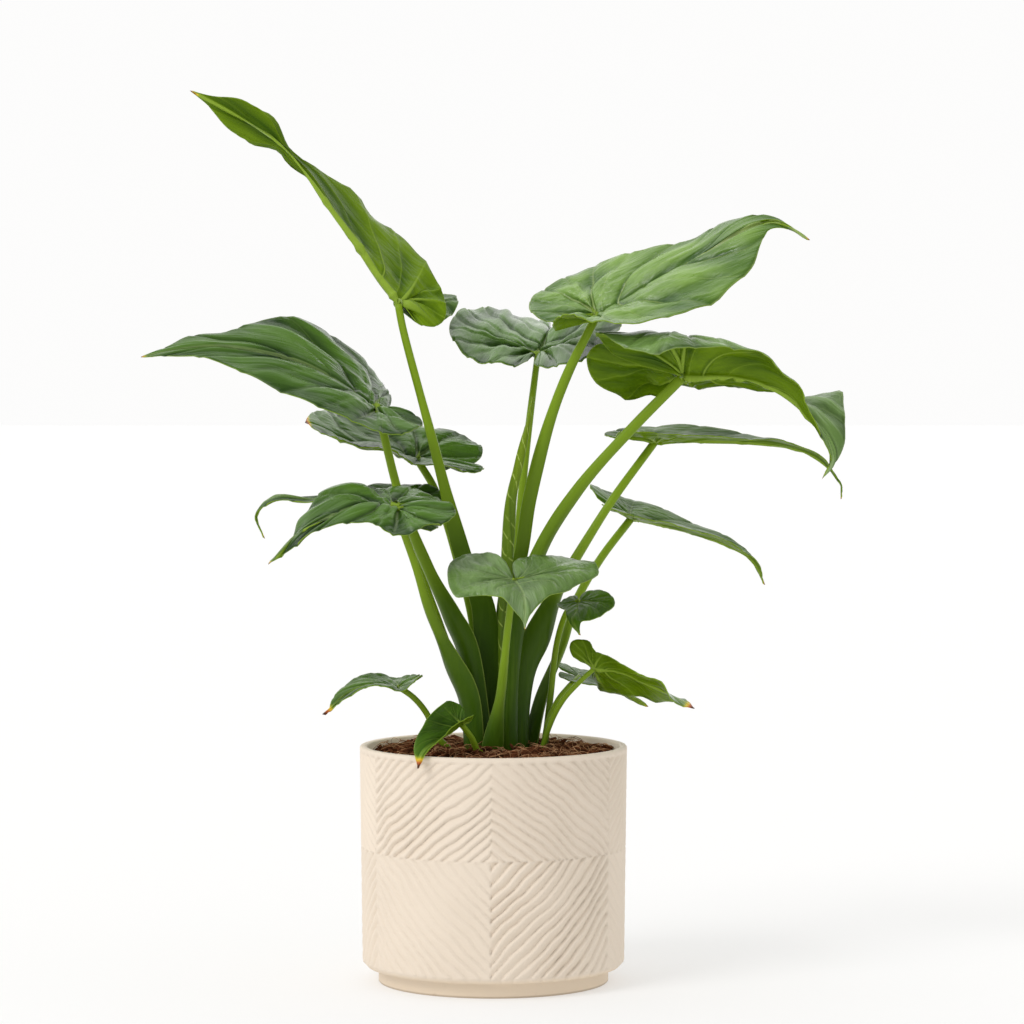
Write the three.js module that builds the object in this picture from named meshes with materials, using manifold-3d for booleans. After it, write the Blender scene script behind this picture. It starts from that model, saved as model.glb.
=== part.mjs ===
// Potted Chinese taro, Alocasia cucullata: sixteen heart-shaped leaves on long stalks and one leaf
// still rolled, in a ribbed ceramic pot filled with coir potting mix.
// Millimetres, +Z up. The origin is on the pot's axis, in the plane of the surface it stands on.
// The front of the pot looks along -Y, and +X is to the right of it.

import * as THREE from "three";
import { mergeGeometries, mergeVertices } from "three/addons/utils/BufferGeometryUtils.js";
import Module from "manifold-3d";

const wasm = await Module();
wasm.setup();

// Driving dimensions of the pot
const POT_HEIGHT = 221;
const RIM_RADIUS = 125;
const WALL_FOOT_RADIUS = 122.7;
const WALL_THICKNESS = 7;
const RIM_BAND = 4.4;
const RIM_STEP = 1;
const WALL_BOTTOM = 19.6;
const CORNER_HEIGHT = 4.2;
const CORNER_INSET = 5;
const FOOT_RADIUS = 107.6;
const FLOOR_THICKNESS = 27;
const CAVITY_FOOT_RADIUS = 110;
const LIP_ROUNDING = 0.8;
const FOOT_ROUNDING = 1;
const CAVITY_FLARE = { drop: 2, out: 1 };
const TURNED_SIDES = 60;

// Relief of the pot: each of the six panels carries slanting ribs that mirror at every seam
const PANELS = 6;
const SEAM_ANGLE = -91.3;
const MIDDLE_SEAM = 127;
const SLABS_PER_PANEL = 5;
const UNITS_PER_SLAB = 4;
const UNITS_ABOVE = 18;
const UNITS_BELOW = 17;
const RIB_DEPTH = 1.3;
const RIB_LEAN = 0.35;

// Driving dimensions of the potting mix and of the rootstock buried in it
const SOIL_RIM_DROP = 10;
const SOIL_DOME = 6;
const SOIL_BUMP = 1.5;
const CRUMB_PITCH = 9;
const ROOTSTOCK = { centre: [2, -4, 150], half: [54, 42, 24], knobs: 5, knobSize: 0.06 };
const ROOTSTOCK_SIDES = 14;
const ROOTSTOCK_RINGS = 8;
const SOIL_RINGS = 6;
const SOIL_SIDES = 40;

// Clearances: stalk in the mix, mix in the pot and blade over its stalk; then stalk on rootstock
const SEAT_GAP = 0.3;
const PLUG_GAP = 0.45;
const ROOT_GAP = 0.5;

// Blades: thickness at the margin and along the midrib, how far the midrib's keel reaches to each
// side, how strongly the side veins bend forward, and the rows of one half
const BLADE_THICKNESS = 0.9;
const MIDRIB_THICKNESS = 2.2;
const KEEL_REACH = 5.5;
const MIDRIB_PLACES = 40;
const VEIN_BEND = 1.6;
const BLADE_ROWS = 12;

// Stalks: faces round and steps along, where below the mix they begin, and the trimming slab
const STALK_SIDES = 8;
const STALK_STEPS = 9;
const ROOT_INSET = 0.85;
const ROOT_HEIGHT = 162;
const SLAB_SIZE = 24;

// Points closer than this are one point
const WELD = 1e-4;

// One half of a heart-shaped blade, flat. Each point of the margin is [along, across, rib]:
// along in blade lengths ahead of the joint or lobe lengths behind it, across in half widths,
// and rib, the place on the midrib where the vein to that point leaves it.
const HALF_HEART = [
  [-0.48, 0.04, 0],
  [-0.84, 0.13, 0],
  [-1.00, 0.37, 0],
  [-0.93, 0.65, 0],
  [-0.63, 0.87, 0],
  [-0.22, 0.98, 0],
  [0.08, 1.00, 0],
  [0.25, 0.93, 0.03],
  [0.43, 0.77, 0.10],
  [0.61, 0.53, 0.22],
  [0.78, 0.27, 0.41],
  [0.91, 0.08, 0.66],
  [1.00, 0.00, 1],
];

const degrees = THREE.MathUtils.degToRad;
const vector = (point) => new THREE.Vector3(...point);

// A value that changes smoothly along a piece, from evenly spaced stations
function between(stations, place) {
  const last = stations.length - 1;
  const step = THREE.MathUtils.clamp(place, 0, 1) * last;
  const first = Math.min(Math.floor(step), last - 1);
  const share = THREE.MathUtils.smoothstep(step - first, 0, 1);
  return THREE.MathUtils.lerp(stations[first], stations[first + 1], share);
}

// The same for a direction
function directionBetween(stations, place) {
  const parts = [0, 1, 2].map((axis) => between(stations.map((one) => one[axis]), place));
  return vector(parts).normalize();
}

// Closed solids for cutting and joining, and back to geometry
function solid(geometry) {
  const merged = joinSheets([geometry]);
  return new wasm.Manifold(new wasm.Mesh({
    numProp: 3,
    vertProperties: Float32Array.from(merged.attributes.position.array),
    triVerts: Uint32Array.from(merged.index.array),
  }));
}

function geometryOf(body) {
  const mesh = body.getMesh();
  const geometry = new THREE.BufferGeometry();
  geometry.setAttribute("position", new THREE.BufferAttribute(mesh.vertProperties, 3));
  geometry.setIndex(new THREE.BufferAttribute(mesh.triVerts, 1));
  geometry.computeVertexNormals();
  return geometry;
}

function largestBody(body) {
  return body.decompose().reduce((best, one) => (one.volume() > best.volume() ? one : best));
}

// A sheet mapped point by point; turned over where the map mirrors it
function mapSheet(sheet, place, mirrored) {
  const position = sheet.attributes.position;
  for (let i = 0; i < position.count; i += 1) {
    const point = place(position.getX(i) + 0.5, 0.5 - position.getY(i));
    position.setXYZ(i, point.x, point.y, point.z);
  }
  if (mirrored) {
    const index = sheet.index.array;
    for (let i = 0; i < index.length; i += 3) {
      [index[i], index[i + 1]] = [index[i + 1], index[i]];
    }
  }
  return sheet;
}

// Sheets joined into one surface, without the triangles that close up to nothing
function joinSheets(sheets) {
  const joined = mergeGeometries(sheets);
  joined.deleteAttribute("normal");
  joined.deleteAttribute("uv");
  const merged = mergeVertices(joined, WELD);
  const kept = [];
  const index = merged.index.array;
  for (let i = 0; i < index.length; i += 3) {
    const [a, b, c] = [index[i], index[i + 1], index[i + 2]];
    if (a !== b && b !== c && c !== a) {
      kept.push(a, b, c);
    }
  }
  merged.setIndex(kept);
  merged.computeVertexNormals();
  return merged;
}

// Frame of a leaf's midrib at a place from 0, the joint, to 1, the tip
function midribFrame(leaf, place) {
  const curve = leaf.curve;
  const at = THREE.MathUtils.clamp(place, 0, 1);
  const tangent = curve.getTangentAt(at).normalize();
  const facing = directionBetween(leaf.face, at);
  const normal = facing.addScaledVector(tangent, -facing.dot(tangent)).normalize();
  const right = new THREE.Vector3().crossVectors(tangent, normal);
  return { point: curve.getPointAt(at), tangent, normal, right };
}

// One point of a blade: side is 1 right of the midrib and -1 left of it, along and across are
// measured on the flat blade. Across the blade the surface leaves the midrib at the fold angle
// and bends evenly by the curl angle out to the margin; a lobe's end is raised or hangs by nod.
function bladePoint(leaf, side, along, across) {
  const frame = midribFrame(leaf, along);
  const half = side > 0 ? leaf.right : leaf.left;
  const place = (along < 0 ? 1 + along : 1 + 2 * along) / 3;
  const wide = between(half.wide, place);
  const fold = degrees(between(half.fold, place));
  const curl = degrees(between(half.curl, place));
  const turn = fold + curl * across;
  let outward = across * Math.cos(fold);
  let upward = across * Math.sin(fold);
  if (Math.abs(curl) > 0.01) {
    outward = (Math.sin(turn) - Math.sin(fold)) / curl;
    upward = (Math.cos(fold) - Math.cos(turn)) / curl;
  }
  const point = frame.point.clone();
  if (along < 0) {
    const nod = degrees(half.nod);
    point.addScaledVector(frame.tangent, along * half.lobe * Math.cos(nod));
    point.addScaledVector(frame.normal, along * half.lobe * Math.sin(nod));
  }
  point.addScaledVector(frame.right, side * wide * outward);
  point.addScaledVector(frame.normal, wide * upward);
  return { point, normal: frame.normal };
}

// The whole blade as one surface without thickness. Odd rows lie between two veins and puff up.
function bladeSurface(leaf) {
  const outline = new THREE.CatmullRomCurve3(HALF_HEART.map(vector), false, "catmullrom", 0.5);
  const sheets = [1, -1].map((side) => mapSheet(
    new THREE.PlaneGeometry(1, 1, leaf.columns, BLADE_ROWS),
    (out, down) => {
      const margin = outline.getPoint(down);
      const along = THREE.MathUtils.lerp(margin.z, margin.x, Math.pow(out, VEIN_BEND));
      const across = Math.max(margin.y, 0) * out;
      const { point, normal } = bladePoint(leaf, side, along, across);
      const puff = 0.5 - 0.5 * Math.cos(Math.PI * BLADE_ROWS * down);
      const wave = Math.sin(Math.PI * leaf.waves * down + leaf.phase + side) * out * out;
      const lift = leaf.quilt * puff * Math.sin(Math.PI * out) + leaf.wave * wave * (1 - down);
      return point.addScaledVector(normal, lift);
    },
    side > 0,
  ));
  return joinSheets(sheets);
}

// A closed body from a surface: the same triangles on both faces and a wall round the margin
function thicken(surface, thicknessAt) {
  const position = surface.attributes.position;
  const normal = surface.attributes.normal;
  const index = surface.index.array;
  const count = position.count;
  const points = [];
  for (const face of [0.5, -0.5]) {
    for (let i = 0; i < count; i += 1) {
      const offset = face * thicknessAt(i);
      points.push(
        position.getX(i) + normal.getX(i) * offset,
        position.getY(i) + normal.getY(i) * offset,
        position.getZ(i) + normal.getZ(i) * offset,
      );
    }
  }
  const triangles = [];
  const edges = new Map();
  for (let i = 0; i < index.length; i += 3) {
    const corners = [index[i], index[i + 1], index[i + 2]];
    triangles.push(...corners);
    triangles.push(corners[2] + count, corners[1] + count, corners[0] + count);
    for (let k = 0; k < 3; k += 1) {
      edges.set(`${corners[k]} ${corners[(k + 1) % 3]}`, [corners[k], corners[(k + 1) % 3]]);
    }
  }
  for (const [from, to] of edges.values()) {
    if (!edges.has(`${to} ${from}`)) {
      triangles.push(to, from, from + count);
      triangles.push(to, from + count, to + count);
    }
  }
  const body = new THREE.BufferGeometry();
  body.setAttribute("position", new THREE.Float32BufferAttribute(points, 3));
  body.setIndex(triangles);
  return body;
}

function bladeBody(leaf, extra = 0) {
  const surface = bladeSurface(leaf);
  const position = surface.attributes.position;
  return thicken(surface, (i) => {
    const point = new THREE.Vector3().fromBufferAttribute(position, i);
    const away = Math.min(...leaf.midrib.map((one) => one.distanceTo(point)));
    const keel = THREE.MathUtils.clamp(1 - away / KEEL_REACH, 0, 1);
    return BLADE_THICKNESS + extra + (MIDRIB_THICKNESS - BLADE_THICKNESS) * keel;
  });
}

// A leaf stalk: round under the blade, and a sheath that hugs its neighbours near the ground.
// Its section has a width across and a depth outwards, and its edges reach back by hug.
function stalkBody(stalk, extra = 0) {
  const path = new THREE.CatmullRomCurve3(stalk.path.map(vector), false, "catmullrom", 0.5);
  const tube = new THREE.CylinderGeometry(1, 1, 1, STALK_SIDES, STALK_STEPS);
  const position = tube.attributes.position;
  const outward = vector(stalk.out);
  for (let i = 0; i < position.count; i += 1) {
    const place = position.getY(i) + 0.5;
    const across = position.getX(i);
    const deep = position.getZ(i);
    const tangent = path.getTangentAt(place);
    const out = outward.clone().addScaledVector(tangent, -outward.dot(tangent)).normalize();
    const side = new THREE.Vector3().crossVectors(tangent, out);
    const width = between(stalk.wide, place) / 2 + extra;
    const depth = between(stalk.deep, place) / 2 + extra;
    const hug = between(stalk.hug, place) * across * across;
    const point = path.getPointAt(place);
    point.addScaledVector(side, width * across);
    point.addScaledVector(out, depth * deep - hug);
    position.setXYZ(i, point.x, point.y, point.z);
  }
  return tube;
}

// A slab above the joint, flat along the blade, that trims the top of the stalk
function slabAbove(leaf) {
  const { point, tangent, normal, right } = midribFrame(leaf, 0);
  const slab = new THREE.BoxGeometry(SLAB_SIZE, SLAB_SIZE, SLAB_SIZE);
  const turn = new THREE.Matrix4().makeBasis(tangent, right.clone().negate(), normal);
  const rise = SLAB_SIZE / 2 - MIDRIB_THICKNESS / 2 - SEAT_GAP;
  slab.applyMatrix4(turn.setPosition(point.clone().addScaledVector(normal, rise)));
  return solid(slab);
}

// The pot's wall between two seams: rows of the sheet are the ribs' crests and hollows, which
// run aslant from the middle seam, and start and end on the lattice that all sheets share
function potSlab(panel, slab, above) {
  const rows = above ? UNITS_ABOVE : UNITS_BELOW;
  const first = slab * UNITS_PER_SLAB;
  const lines = rows + UNITS_PER_SLAB;
  const unitAngle = 360 / PANELS / (SLABS_PER_PANEL * UNITS_PER_SLAB);
  const mirrored = panel % 2 === 1;
  const seam = SEAM_ANGLE + (panel + (mirrored ? 1 : 0)) * (360 / PANELS);
  const sheet = new THREE.PlaneGeometry(1, 1, 1, lines);
  const turned = mirrored !== above;
  return mapSheet(sheet, (end, down) => {
    const line = first + Math.round(down * lines);
    const start = Math.max(first, line - rows);
    const stop = Math.min(first + UNITS_PER_SLAB, line);
    const across = end < 0.5 ? start : stop;
    const hollow = line % 2 === 1;
    const onEdge = line === across || line - across === rows;
    const up = line - across + (hollow && !onEdge ? RIB_LEAN : 0);
    const angle = degrees(seam + (mirrored ? -across : across) * unitAngle);
    return potWallPoint(angle, up, above, hollow);
  }, turned);
}

const wallTop = POT_HEIGHT - RIM_BAND;

function wallRadius(height) {
  const rise = (height - WALL_BOTTOM) / (wallTop - WALL_BOTTOM);
  return THREE.MathUtils.lerp(WALL_FOOT_RADIUS, RIM_RADIUS, rise);
}

function potWallPoint(angle, up, above, hollow) {
  const share = up / (above ? UNITS_ABOVE : UNITS_BELOW);
  const height = THREE.MathUtils.lerp(MIDDLE_SEAM, above ? wallTop : WALL_BOTTOM, share);
  const radius = wallRadius(height) - (hollow ? RIB_DEPTH : 0);
  return new THREE.Vector3(radius * Math.cos(angle), radius * Math.sin(angle), height);
}

// A plain band or disc of the pot between two rings of the same lattice
function potRing(lower, upper) {
  const columns = PANELS * SLABS_PER_PANEL * UNITS_PER_SLAB;
  return mapSheet(new THREE.PlaneGeometry(1, 1, columns, 1), (across, down) => {
    const ring = down < 0.5 ? upper : lower;
    const column = Math.round(across * columns);
    const angle = degrees(SEAM_ANGLE + (column * 360) / columns);
    const radius = ring.radius - (column % 2 === ring.hollow ? RIB_DEPTH : 0);
    return new THREE.Vector3(radius * Math.cos(angle), radius * Math.sin(angle), ring.height);
  }, false);
}

function potBody() {
  const sheets = [];
  for (let panel = 0; panel < PANELS; panel += 1) {
    for (let slab = 0; slab < SLABS_PER_PANEL; slab += 1) {
      sheets.push(potSlab(panel, slab, true), potSlab(panel, slab, false));
    }
  }
  const top = { radius: RIM_RADIUS, height: wallTop, hollow: (UNITS_ABOVE + 1) % 2 };
  const band = { radius: RIM_RADIUS, height: wallTop + RIM_STEP };
  const lip = { radius: RIM_RADIUS - LIP_ROUNDING, height: POT_HEIGHT };
  const topCentre = { radius: 0, height: POT_HEIGHT };
  const bottom = {
    radius: WALL_FOOT_RADIUS,
    height: WALL_BOTTOM,
    hollow: (UNITS_BELOW + 1) % 2,
  };
  const corner = {
    radius: WALL_FOOT_RADIUS - CORNER_INSET,
    height: WALL_BOTTOM - CORNER_HEIGHT,
  };
  const bottomCentre = { radius: 0, height: WALL_BOTTOM - CORNER_HEIGHT };
  sheets.push(potRing(top, band), potRing(band, lip), potRing(lip, topCentre));
  sheets.push(potRing(corner, bottom), potRing(bottomCentre, corner));
  const block = solid(joinSheets(sheets));
  const innerRadius = RIM_RADIUS - WALL_THICKNESS;
  const cavity = solid(new THREE.LatheGeometry([
    new THREE.Vector2(0, FLOOR_THICKNESS),
    new THREE.Vector2(CAVITY_FOOT_RADIUS, FLOOR_THICKNESS),
    new THREE.Vector2(innerRadius, POT_HEIGHT - CAVITY_FLARE.drop),
    new THREE.Vector2(innerRadius + CAVITY_FLARE.out, POT_HEIGHT + CAVITY_FLARE.drop),
    new THREE.Vector2(0, POT_HEIGHT + CAVITY_FLARE.drop),
  ], TURNED_SIDES).rotateX(Math.PI / 2));
  const foot = solid(new THREE.LatheGeometry([
    new THREE.Vector2(0, 0),
    new THREE.Vector2(FOOT_RADIUS - FOOT_ROUNDING, 0),
    new THREE.Vector2(FOOT_RADIUS, FOOT_ROUNDING),
    new THREE.Vector2(FOOT_RADIUS, WALL_BOTTOM),
    new THREE.Vector2(0, WALL_BOTTOM),
  ], TURNED_SIDES).rotateX(Math.PI / 2));
  return block.add(foot).subtract(cavity);
}

// Potting mix: a plug that fills the pot, with a low dome of crumbs and fibres on top
function soilHeight(x, y) {
  const away = Math.hypot(x, y) / (RIM_RADIUS - WALL_THICKNESS);
  const crumbs = Math.sin(x / CRUMB_PITCH) * Math.cos(y / CRUMB_PITCH + 1)
    + 0.6 * Math.sin((x + y) / (0.62 * CRUMB_PITCH) + 2);
  return POT_HEIGHT - SOIL_RIM_DROP + SOIL_DOME * (1 - away * away) + SOIL_BUMP * crumbs;
}

function soilBody() {
  const wallSlope = (RIM_RADIUS - WALL_THICKNESS - CAVITY_FOOT_RADIUS)
    / (POT_HEIGHT - CAVITY_FLARE.drop - FLOOR_THICKNESS);
  const bottom = FLOOR_THICKNESS + SEAT_GAP;
  const rimHeight = POT_HEIGHT - SOIL_RIM_DROP;
  const profile = [new THREE.Vector2(0, bottom)];
  profile.push(new THREE.Vector2(CAVITY_FOOT_RADIUS - PLUG_GAP, bottom));
  const top = CAVITY_FOOT_RADIUS - PLUG_GAP + wallSlope * (rimHeight - bottom);
  for (let ring = SOIL_RINGS; ring >= 0; ring -= 1) {
    profile.push(new THREE.Vector2((top * ring) / SOIL_RINGS, rimHeight));
  }
  const plug = new THREE.LatheGeometry(profile, SOIL_SIDES).rotateX(Math.PI / 2);
  const position = plug.attributes.position;
  for (let i = 0; i < position.count; i += 1) {
    if (position.getZ(i) > rimHeight - 1) {
      position.setZ(i, soilHeight(position.getX(i), position.getY(i)));
    }
  }
  return solid(plug);
}

// Rootstock: the squat swollen stem that all the stalks grow from, under the mix
function rootstockBody(extra = 0) {
  const ball = new THREE.SphereGeometry(1, ROOTSTOCK_SIDES, ROOTSTOCK_RINGS).rotateX(Math.PI / 2);
  const position = ball.attributes.position;
  const [halfX, halfY, halfZ] = ROOTSTOCK.half;
  for (let i = 0; i < position.count; i += 1) {
    const angle = Math.atan2(position.getY(i), position.getX(i));
    const knobs = ROOTSTOCK.knobSize * Math.sin(ROOTSTOCK.knobs * angle);
    const knob = 1 + knobs * (1 - Math.abs(position.getZ(i)));
    position.setXYZ(
      i,
      ROOTSTOCK.centre[0] + position.getX(i) * (halfX + extra) * knob,
      ROOTSTOCK.centre[1] + position.getY(i) * (halfY + extra) * knob,
      ROOTSTOCK.centre[2] + position.getZ(i) * (halfZ + extra),
    );
  }
  return solid(ball);
}

// The leaves. rib: the midrib from the joint to the tip; face: where the upper side faces along
// it. Each half has a lobe, the length behind the joint; nod, how many degrees the lobe hangs
// below the line of the midrib; and wide, fold and curl: half width in mm and angles in degrees
// at even stations from the lobe's end to the tip, a third of them behind the joint. quilt and
// wave: heights of the puffs and of the margin's waves in mm. stalk: the path from the mix to
// just below the joint, width and depth in mm along it, the reach of the sheath's edges in mm,
// and the way the sheath faces.
const LEAVES = [
  {
    name: "tall_left",
    rib: [[-89, 5, 634], [-134, 16, 695], [-185, 24, 768], [-223, 22, 799], [-283, 10, 832]],
    face: [[0.19, 0.96, 0.19], [0.05, 1, 0.05], [0.05, 1, 0.05], [-0.1, 0.95, 0.25]],
    left: {
      lobe: 38, nod: 0, wide: [46, 46, 47, 49, 52, 64, 74, 80, 62, 20, 66, 92, 60],
      fold: [40, 41, 43, 47, 54, 61, 65, 69, 76, 70, 40, 8, 20], curl: [0, 0],
    },
    right: {
      lobe: 34, nod: 0, wide: [84, 84, 82, 76, 70, 64, 60, 54, 38, 24, 60, 82, 60],
      fold: [118, 117, 115, 108, 96, 86, 84, 85, 84, 52, 24, 10, 20], curl: [0, 0],
    },
    quilt: 1.6, wave: 1.2, waves: 5, phase: 0, columns: 5,
    stalk: {
      path: [[-2, 5, 211], [-8, 6, 327], [-15, 8, 364], [-31, 9, 403], [-57, 9, 506], [-82, 6, 600]],
      wide: [18, 20, 25, 17, 10, 7.5, 7],
      deep: [8, 8, 8, 8, 8, 8],
      hug: [4, 5, 3, 0, 0],
      out: [-0.3, 1, 0],
    },
  },
  {
    name: "big_left",
    rib: [[-109, -12, 537], [-144, -20, 563], [-193, -32, 585], [-255, -44, 592], [-323, -56, 583]],
    face: [[-0.05, -0.30, 0.95], [0, -0.62, 0.79], [0, -0.62, 0.79]],
    left: {
      lobe: 44, nod: -32, wide: [64, 64], fold: [4, 2, 4, 2, 0, 2, 10], curl: [-10, -10, -10, 0],
    },
    right: {
      lobe: 18, nod: 0, wide: [56, 66, 76, 84, 82, 76, 70, 46, 70, 60],
      fold: [0, 0, 2, 10], curl: [0, 0],
    },
    quilt: 2, wave: 2.5, waves: 6, phase: 1, columns: 5,
    stalk: {
      path: [
        [-10, -11, 212], [-24, -12, 304], [-40, -13, 343], [-61, -13, 386], [-87, -12, 454],
        [-104, -12, 521],
      ],
      wide: [16, 20, 24, 12, 8, 7.5],
      deep: [8, 8, 8, 8, 8],
      hug: [4, 5, 3, 0, 0],
      out: [-0.5, -0.9, 0],
    },
  },
  {
    name: "middle_left",
    rib: [[-73, 80, 486], [-103, 74, 496], [-141, 62, 505], [-179, 50, 520]],
    face: [[0, -0.26, 0.95], [0, -0.32, 0.93]],
    left: {
      lobe: 62, nod: -17, wide: [52, 52, 52, 52, 56, 60, 68, 95, 190, 600],
      fold: [2, 10, 16, 14], curl: [0, 0],
    },
    right: {
      lobe: 62, nod: -9, wide: [58, 58, 58, 58, 60, 64, 72, 100, 190, 600],
      fold: [22, 20, 16, 14], curl: [0, 0],
    },
    quilt: 1.6, wave: 1.4, waves: 5, phase: 2, columns: 4,
    stalk: {
      path: [[-4, 28, 211], [-18, 40, 326], [-37, 56, 401], [-55, 70, 455]],
      wide: [12, 12, 11, 9, 8, 7], deep: [8, 8, 8, 8, 7], hug: [3, 3, 1, 0], out: [-0.3, 1, 0],
    },
  },
  {
    name: "low_left",
    rib: [[-90, -76, 447], [-116, -88, 451], [-143, -100, 443], [-169, -108, 427], [-203, -112, 396]],
    face: [[0, -0.26, 0.97], [0, -0.26, 0.97], [-0.3, -0.3, 0.9]],
    left: {
      lobe: 54, nod: -13, wide: [40, 42, 44, 46, 42, 32, 25, 24, 26, 30], fold: [-6, -12, -10, 0],
      curl: [-10, -10, -10, 0],
    },
    right: {
      lobe: 58, nod: -8, wide: [58, 58, 58, 58, 58, 56, 50, 40, 32, 30],
      fold: [-4, 2, 4, 0], curl: [0, 0],
    },
    quilt: 1.6, wave: 2, waves: 6, phase: 0.5, columns: 5,
    stalk: {
      path: [[-19, -20, 211], [-24, -24, 265], [-40, -31, 304], [-59, -43, 349], [-73, -56, 396]],
      wide: [14, 24, 26, 12, 7, 6.5], deep: [7, 7, 7, 7, 7], hug: [3, 3, 1, 0], out: [-0.6, -0.8, 0],
    },
  },
  {
    name: "low_left_back",
    rib: [
      [-90, 35, 445], [-136, 48, 452], [-174, 56, 449], [-208, 60, 449], [-225, 62, 433],
      [-218, 62, 411],
    ],
    face: [[0, -0.16, 1], [0, -0.05, 1], [-0.7, -0.1, 0.6]],
    left: {
      lobe: 48, nod: 16, wide: [42, 42, 42, 40, 34, 26, 16, 16, 24, 40], fold: [0, 5, 5, 5],
      curl: [0, 0],
    },
    right: {
      lobe: 44, nod: 4, wide: [44, 44, 44, 42, 34, 24, 10, 6, 10, 20], fold: [18, 18, 12, 5],
      curl: [0, 0],
    },
    quilt: 1, wave: 2, waves: 5, phase: 1.5, columns: 4,
    stalk: {
      path: [[-16, 14, 212], [-36, 18, 290], [-52, 22, 337], [-69, 27, 383], [-79, 32, 421]],
      wide: [8, 8, 7, 6.5, 6], deep: [8, 8, 7, 7, 6.5], hug: [1, 0], out: [-1, 0.3, 0],
    },
  },
  {
    name: "top_right",
    rib: [[96, -15, 622], [138, -20, 648], [191, -22, 680], [254, -22, 708], [293, -22, 692]],
    face: [[-0.45, -0.42, 0.77], [-0.37, -0.67, 0.63], [-0.2, -0.6, 0.8]],
    left: {
      lobe: 55, nod: -20, wide: [74, 74, 74, 74, 68, 60, 52, 66, 40, 6],
      fold: [12, 12, -15, 0], curl: [0, 0],
    },
    right: {
      lobe: 38, nod: -10, wide: [66, 70, 76, 78, 80, 84, 92, 100, 40, 6],
      fold: [38, 38, 34, 22, 8, 4, 0, -8, -10, 0], curl: [0, 0],
    },
    quilt: 2, wave: 2, waves: 5, phase: 0, columns: 5,
    stalk: {
      path: [[8, 18, 213], [9, 16, 347], [25, 8, 396], [34, -1, 452], [50, -9, 516], [69, -12, 568]],
      wide: [14, 14, 12, 13, 13, 9.5, 8], deep: [8, 8, 8, 8, 8], hug: [3, 3, 3, 0, 0], out: [0, 1, 0],
    },
  },
  {
    name: "centre_back",
    rib: [[42, 78, 587], [51, 118, 603], [57, 165, 613], [60, 212, 610], [63, 245, 594]],
    face: [[0, -0.19, 0.97], [0, 0, 1], [0, 0.4, 0.9]],
    left: { lobe: 60, nod: -5, wide: [88, 88], fold: [13, 18, 18, 10], curl: [0, 0] },
    right: { lobe: 60, nod: -5, wide: [84, 84], fold: [15, 20, 20, 10], curl: [0, 0] },
    quilt: 2, wave: 1.2, waves: 5, phase: 2, columns: 5,
    stalk: {
      path: [[14, 29, 211], [19, 34, 317], [24, 42, 421], [32, 55, 506]],
      wide: [12, 11, 9, 8, 7, 6], deep: [8, 8, 8, 8, 8], hug: [3, 2, 0, 0], out: [0.2, 1, 0],
    },
  },
  {
    name: "big_right",
    rib: [
      [175, -30, 565], [223, -35, 564], [263, -42, 552], [293, -50, 523], [310, -52, 492],
      [303, -52, 471],
    ],
    face: [[0, 0, 1], [0, 0, 1], [0.8, 0, 0.6], [0.8, -0.4, 0.2]],
    left: {
      lobe: 100, nod: -26, wide: [76, 76, 76, 76, 76, 76, 84, 124, 104, 20],
      fold: [-70, -48, -26, -8, -8, -8, 6, 50, 60, 20], curl: [0, 0],
    },
    right: {
      lobe: 80, nod: -8, wide: [88, 96, 105, 95, 78, 64, 42, 30, 30, 20],
      fold: [85, 85, 85, 85, 85, 82, 70, 30, 0, 0],
      curl: [-150, -155, -150, -130, -122, -115, -90, -40, 0, 0],
    },
    quilt: 1.8, wave: 0.8, waves: 5, phase: 0, columns: 5,
    stalk: {
      path: [[16, -20, 212], [20, -20, 321], [42, -17, 399], [79, -21, 461], [127, -26, 516]],
      wide: [14, 14, 18, 13, 10, 9.5], deep: [8, 8, 8, 8, 8], hug: [2, 2, 3, 0, 0], out: [0.3, -1, 0],
    },
  },
  {
    name: "long_right",
    rib: [
      [152, 46, 503], [195, 54, 505], [251, 58, 502], [296, 58, 493], [327, 58, 468],
      [331, 58, 449],
    ],
    face: [[0, 0.05, 1], [0, 0.05, 1], [0.7, 0, 0.7]],
    left: { lobe: 42, nod: -8, wide: [58, 58, 58, 58, 56, 50, 8], fold: [12, 14, 14, 12], curl: [0, 0] },
    right: { lobe: 42, nod: -8, wide: [56, 56, 56, 56, 54, 48, 8], fold: [8, 4, 4, 4], curl: [0, 0] },
    quilt: 1, wave: 0.8, waves: 5, phase: 1, columns: 4,
    stalk: {
      path: [[24, -2, 212], [28, 2, 286], [43, 5, 324], [59, 8, 361], [81, 12, 401], [112, 22, 450]],
      wide: [16, 22, 29, 10, 8, 7.5], deep: [8, 8, 8, 8, 8], hug: [4, 5, 3, 0, 0], out: [0.4, -1, 0],
    },
  },
  {
    name: "lower_right",
    rib: [
      [131, 86, 429], [163, 93, 422], [201, 98, 411], [239, 100, 395], [254, 100, 379],
      [260, 100, 365],
    ],
    face: [[0.3, -0.03, 0.95], [0.3, -0.03, 0.95], [0.3, -0.03, 0.95], [0.8, 0, 0.6]],
    left: { lobe: 44, nod: -18, wide: [46, 46], fold: [16, 16], curl: [0, 0] },
    right: { lobe: 36, nod: -14, wide: [46, 46], fold: [8, 8], curl: [0, 0] },
    quilt: 1, wave: 1, waves: 5, phase: 0, columns: 4,
    stalk: {
      path: [[36, 20, 211], [46, 27, 261], [66, 40, 312], [78, 52, 351], [102, 68, 392]],
      wide: [16, 17, 9, 7.5, 7], deep: [8, 8, 8, 8, 8], hug: [3, 3, 1, 0], out: [0.7, 0.7, 0],
    },
  },
  {
    name: "front",
    rib: [[20, -75, 380], [27, -98, 371], [29, -122, 362], [29, -142, 350], [29, -150, 339]],
    face: [[0, -0.48, 0.88], [0, -0.48, 0.88], [0, -0.9, 0.4]],
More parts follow.
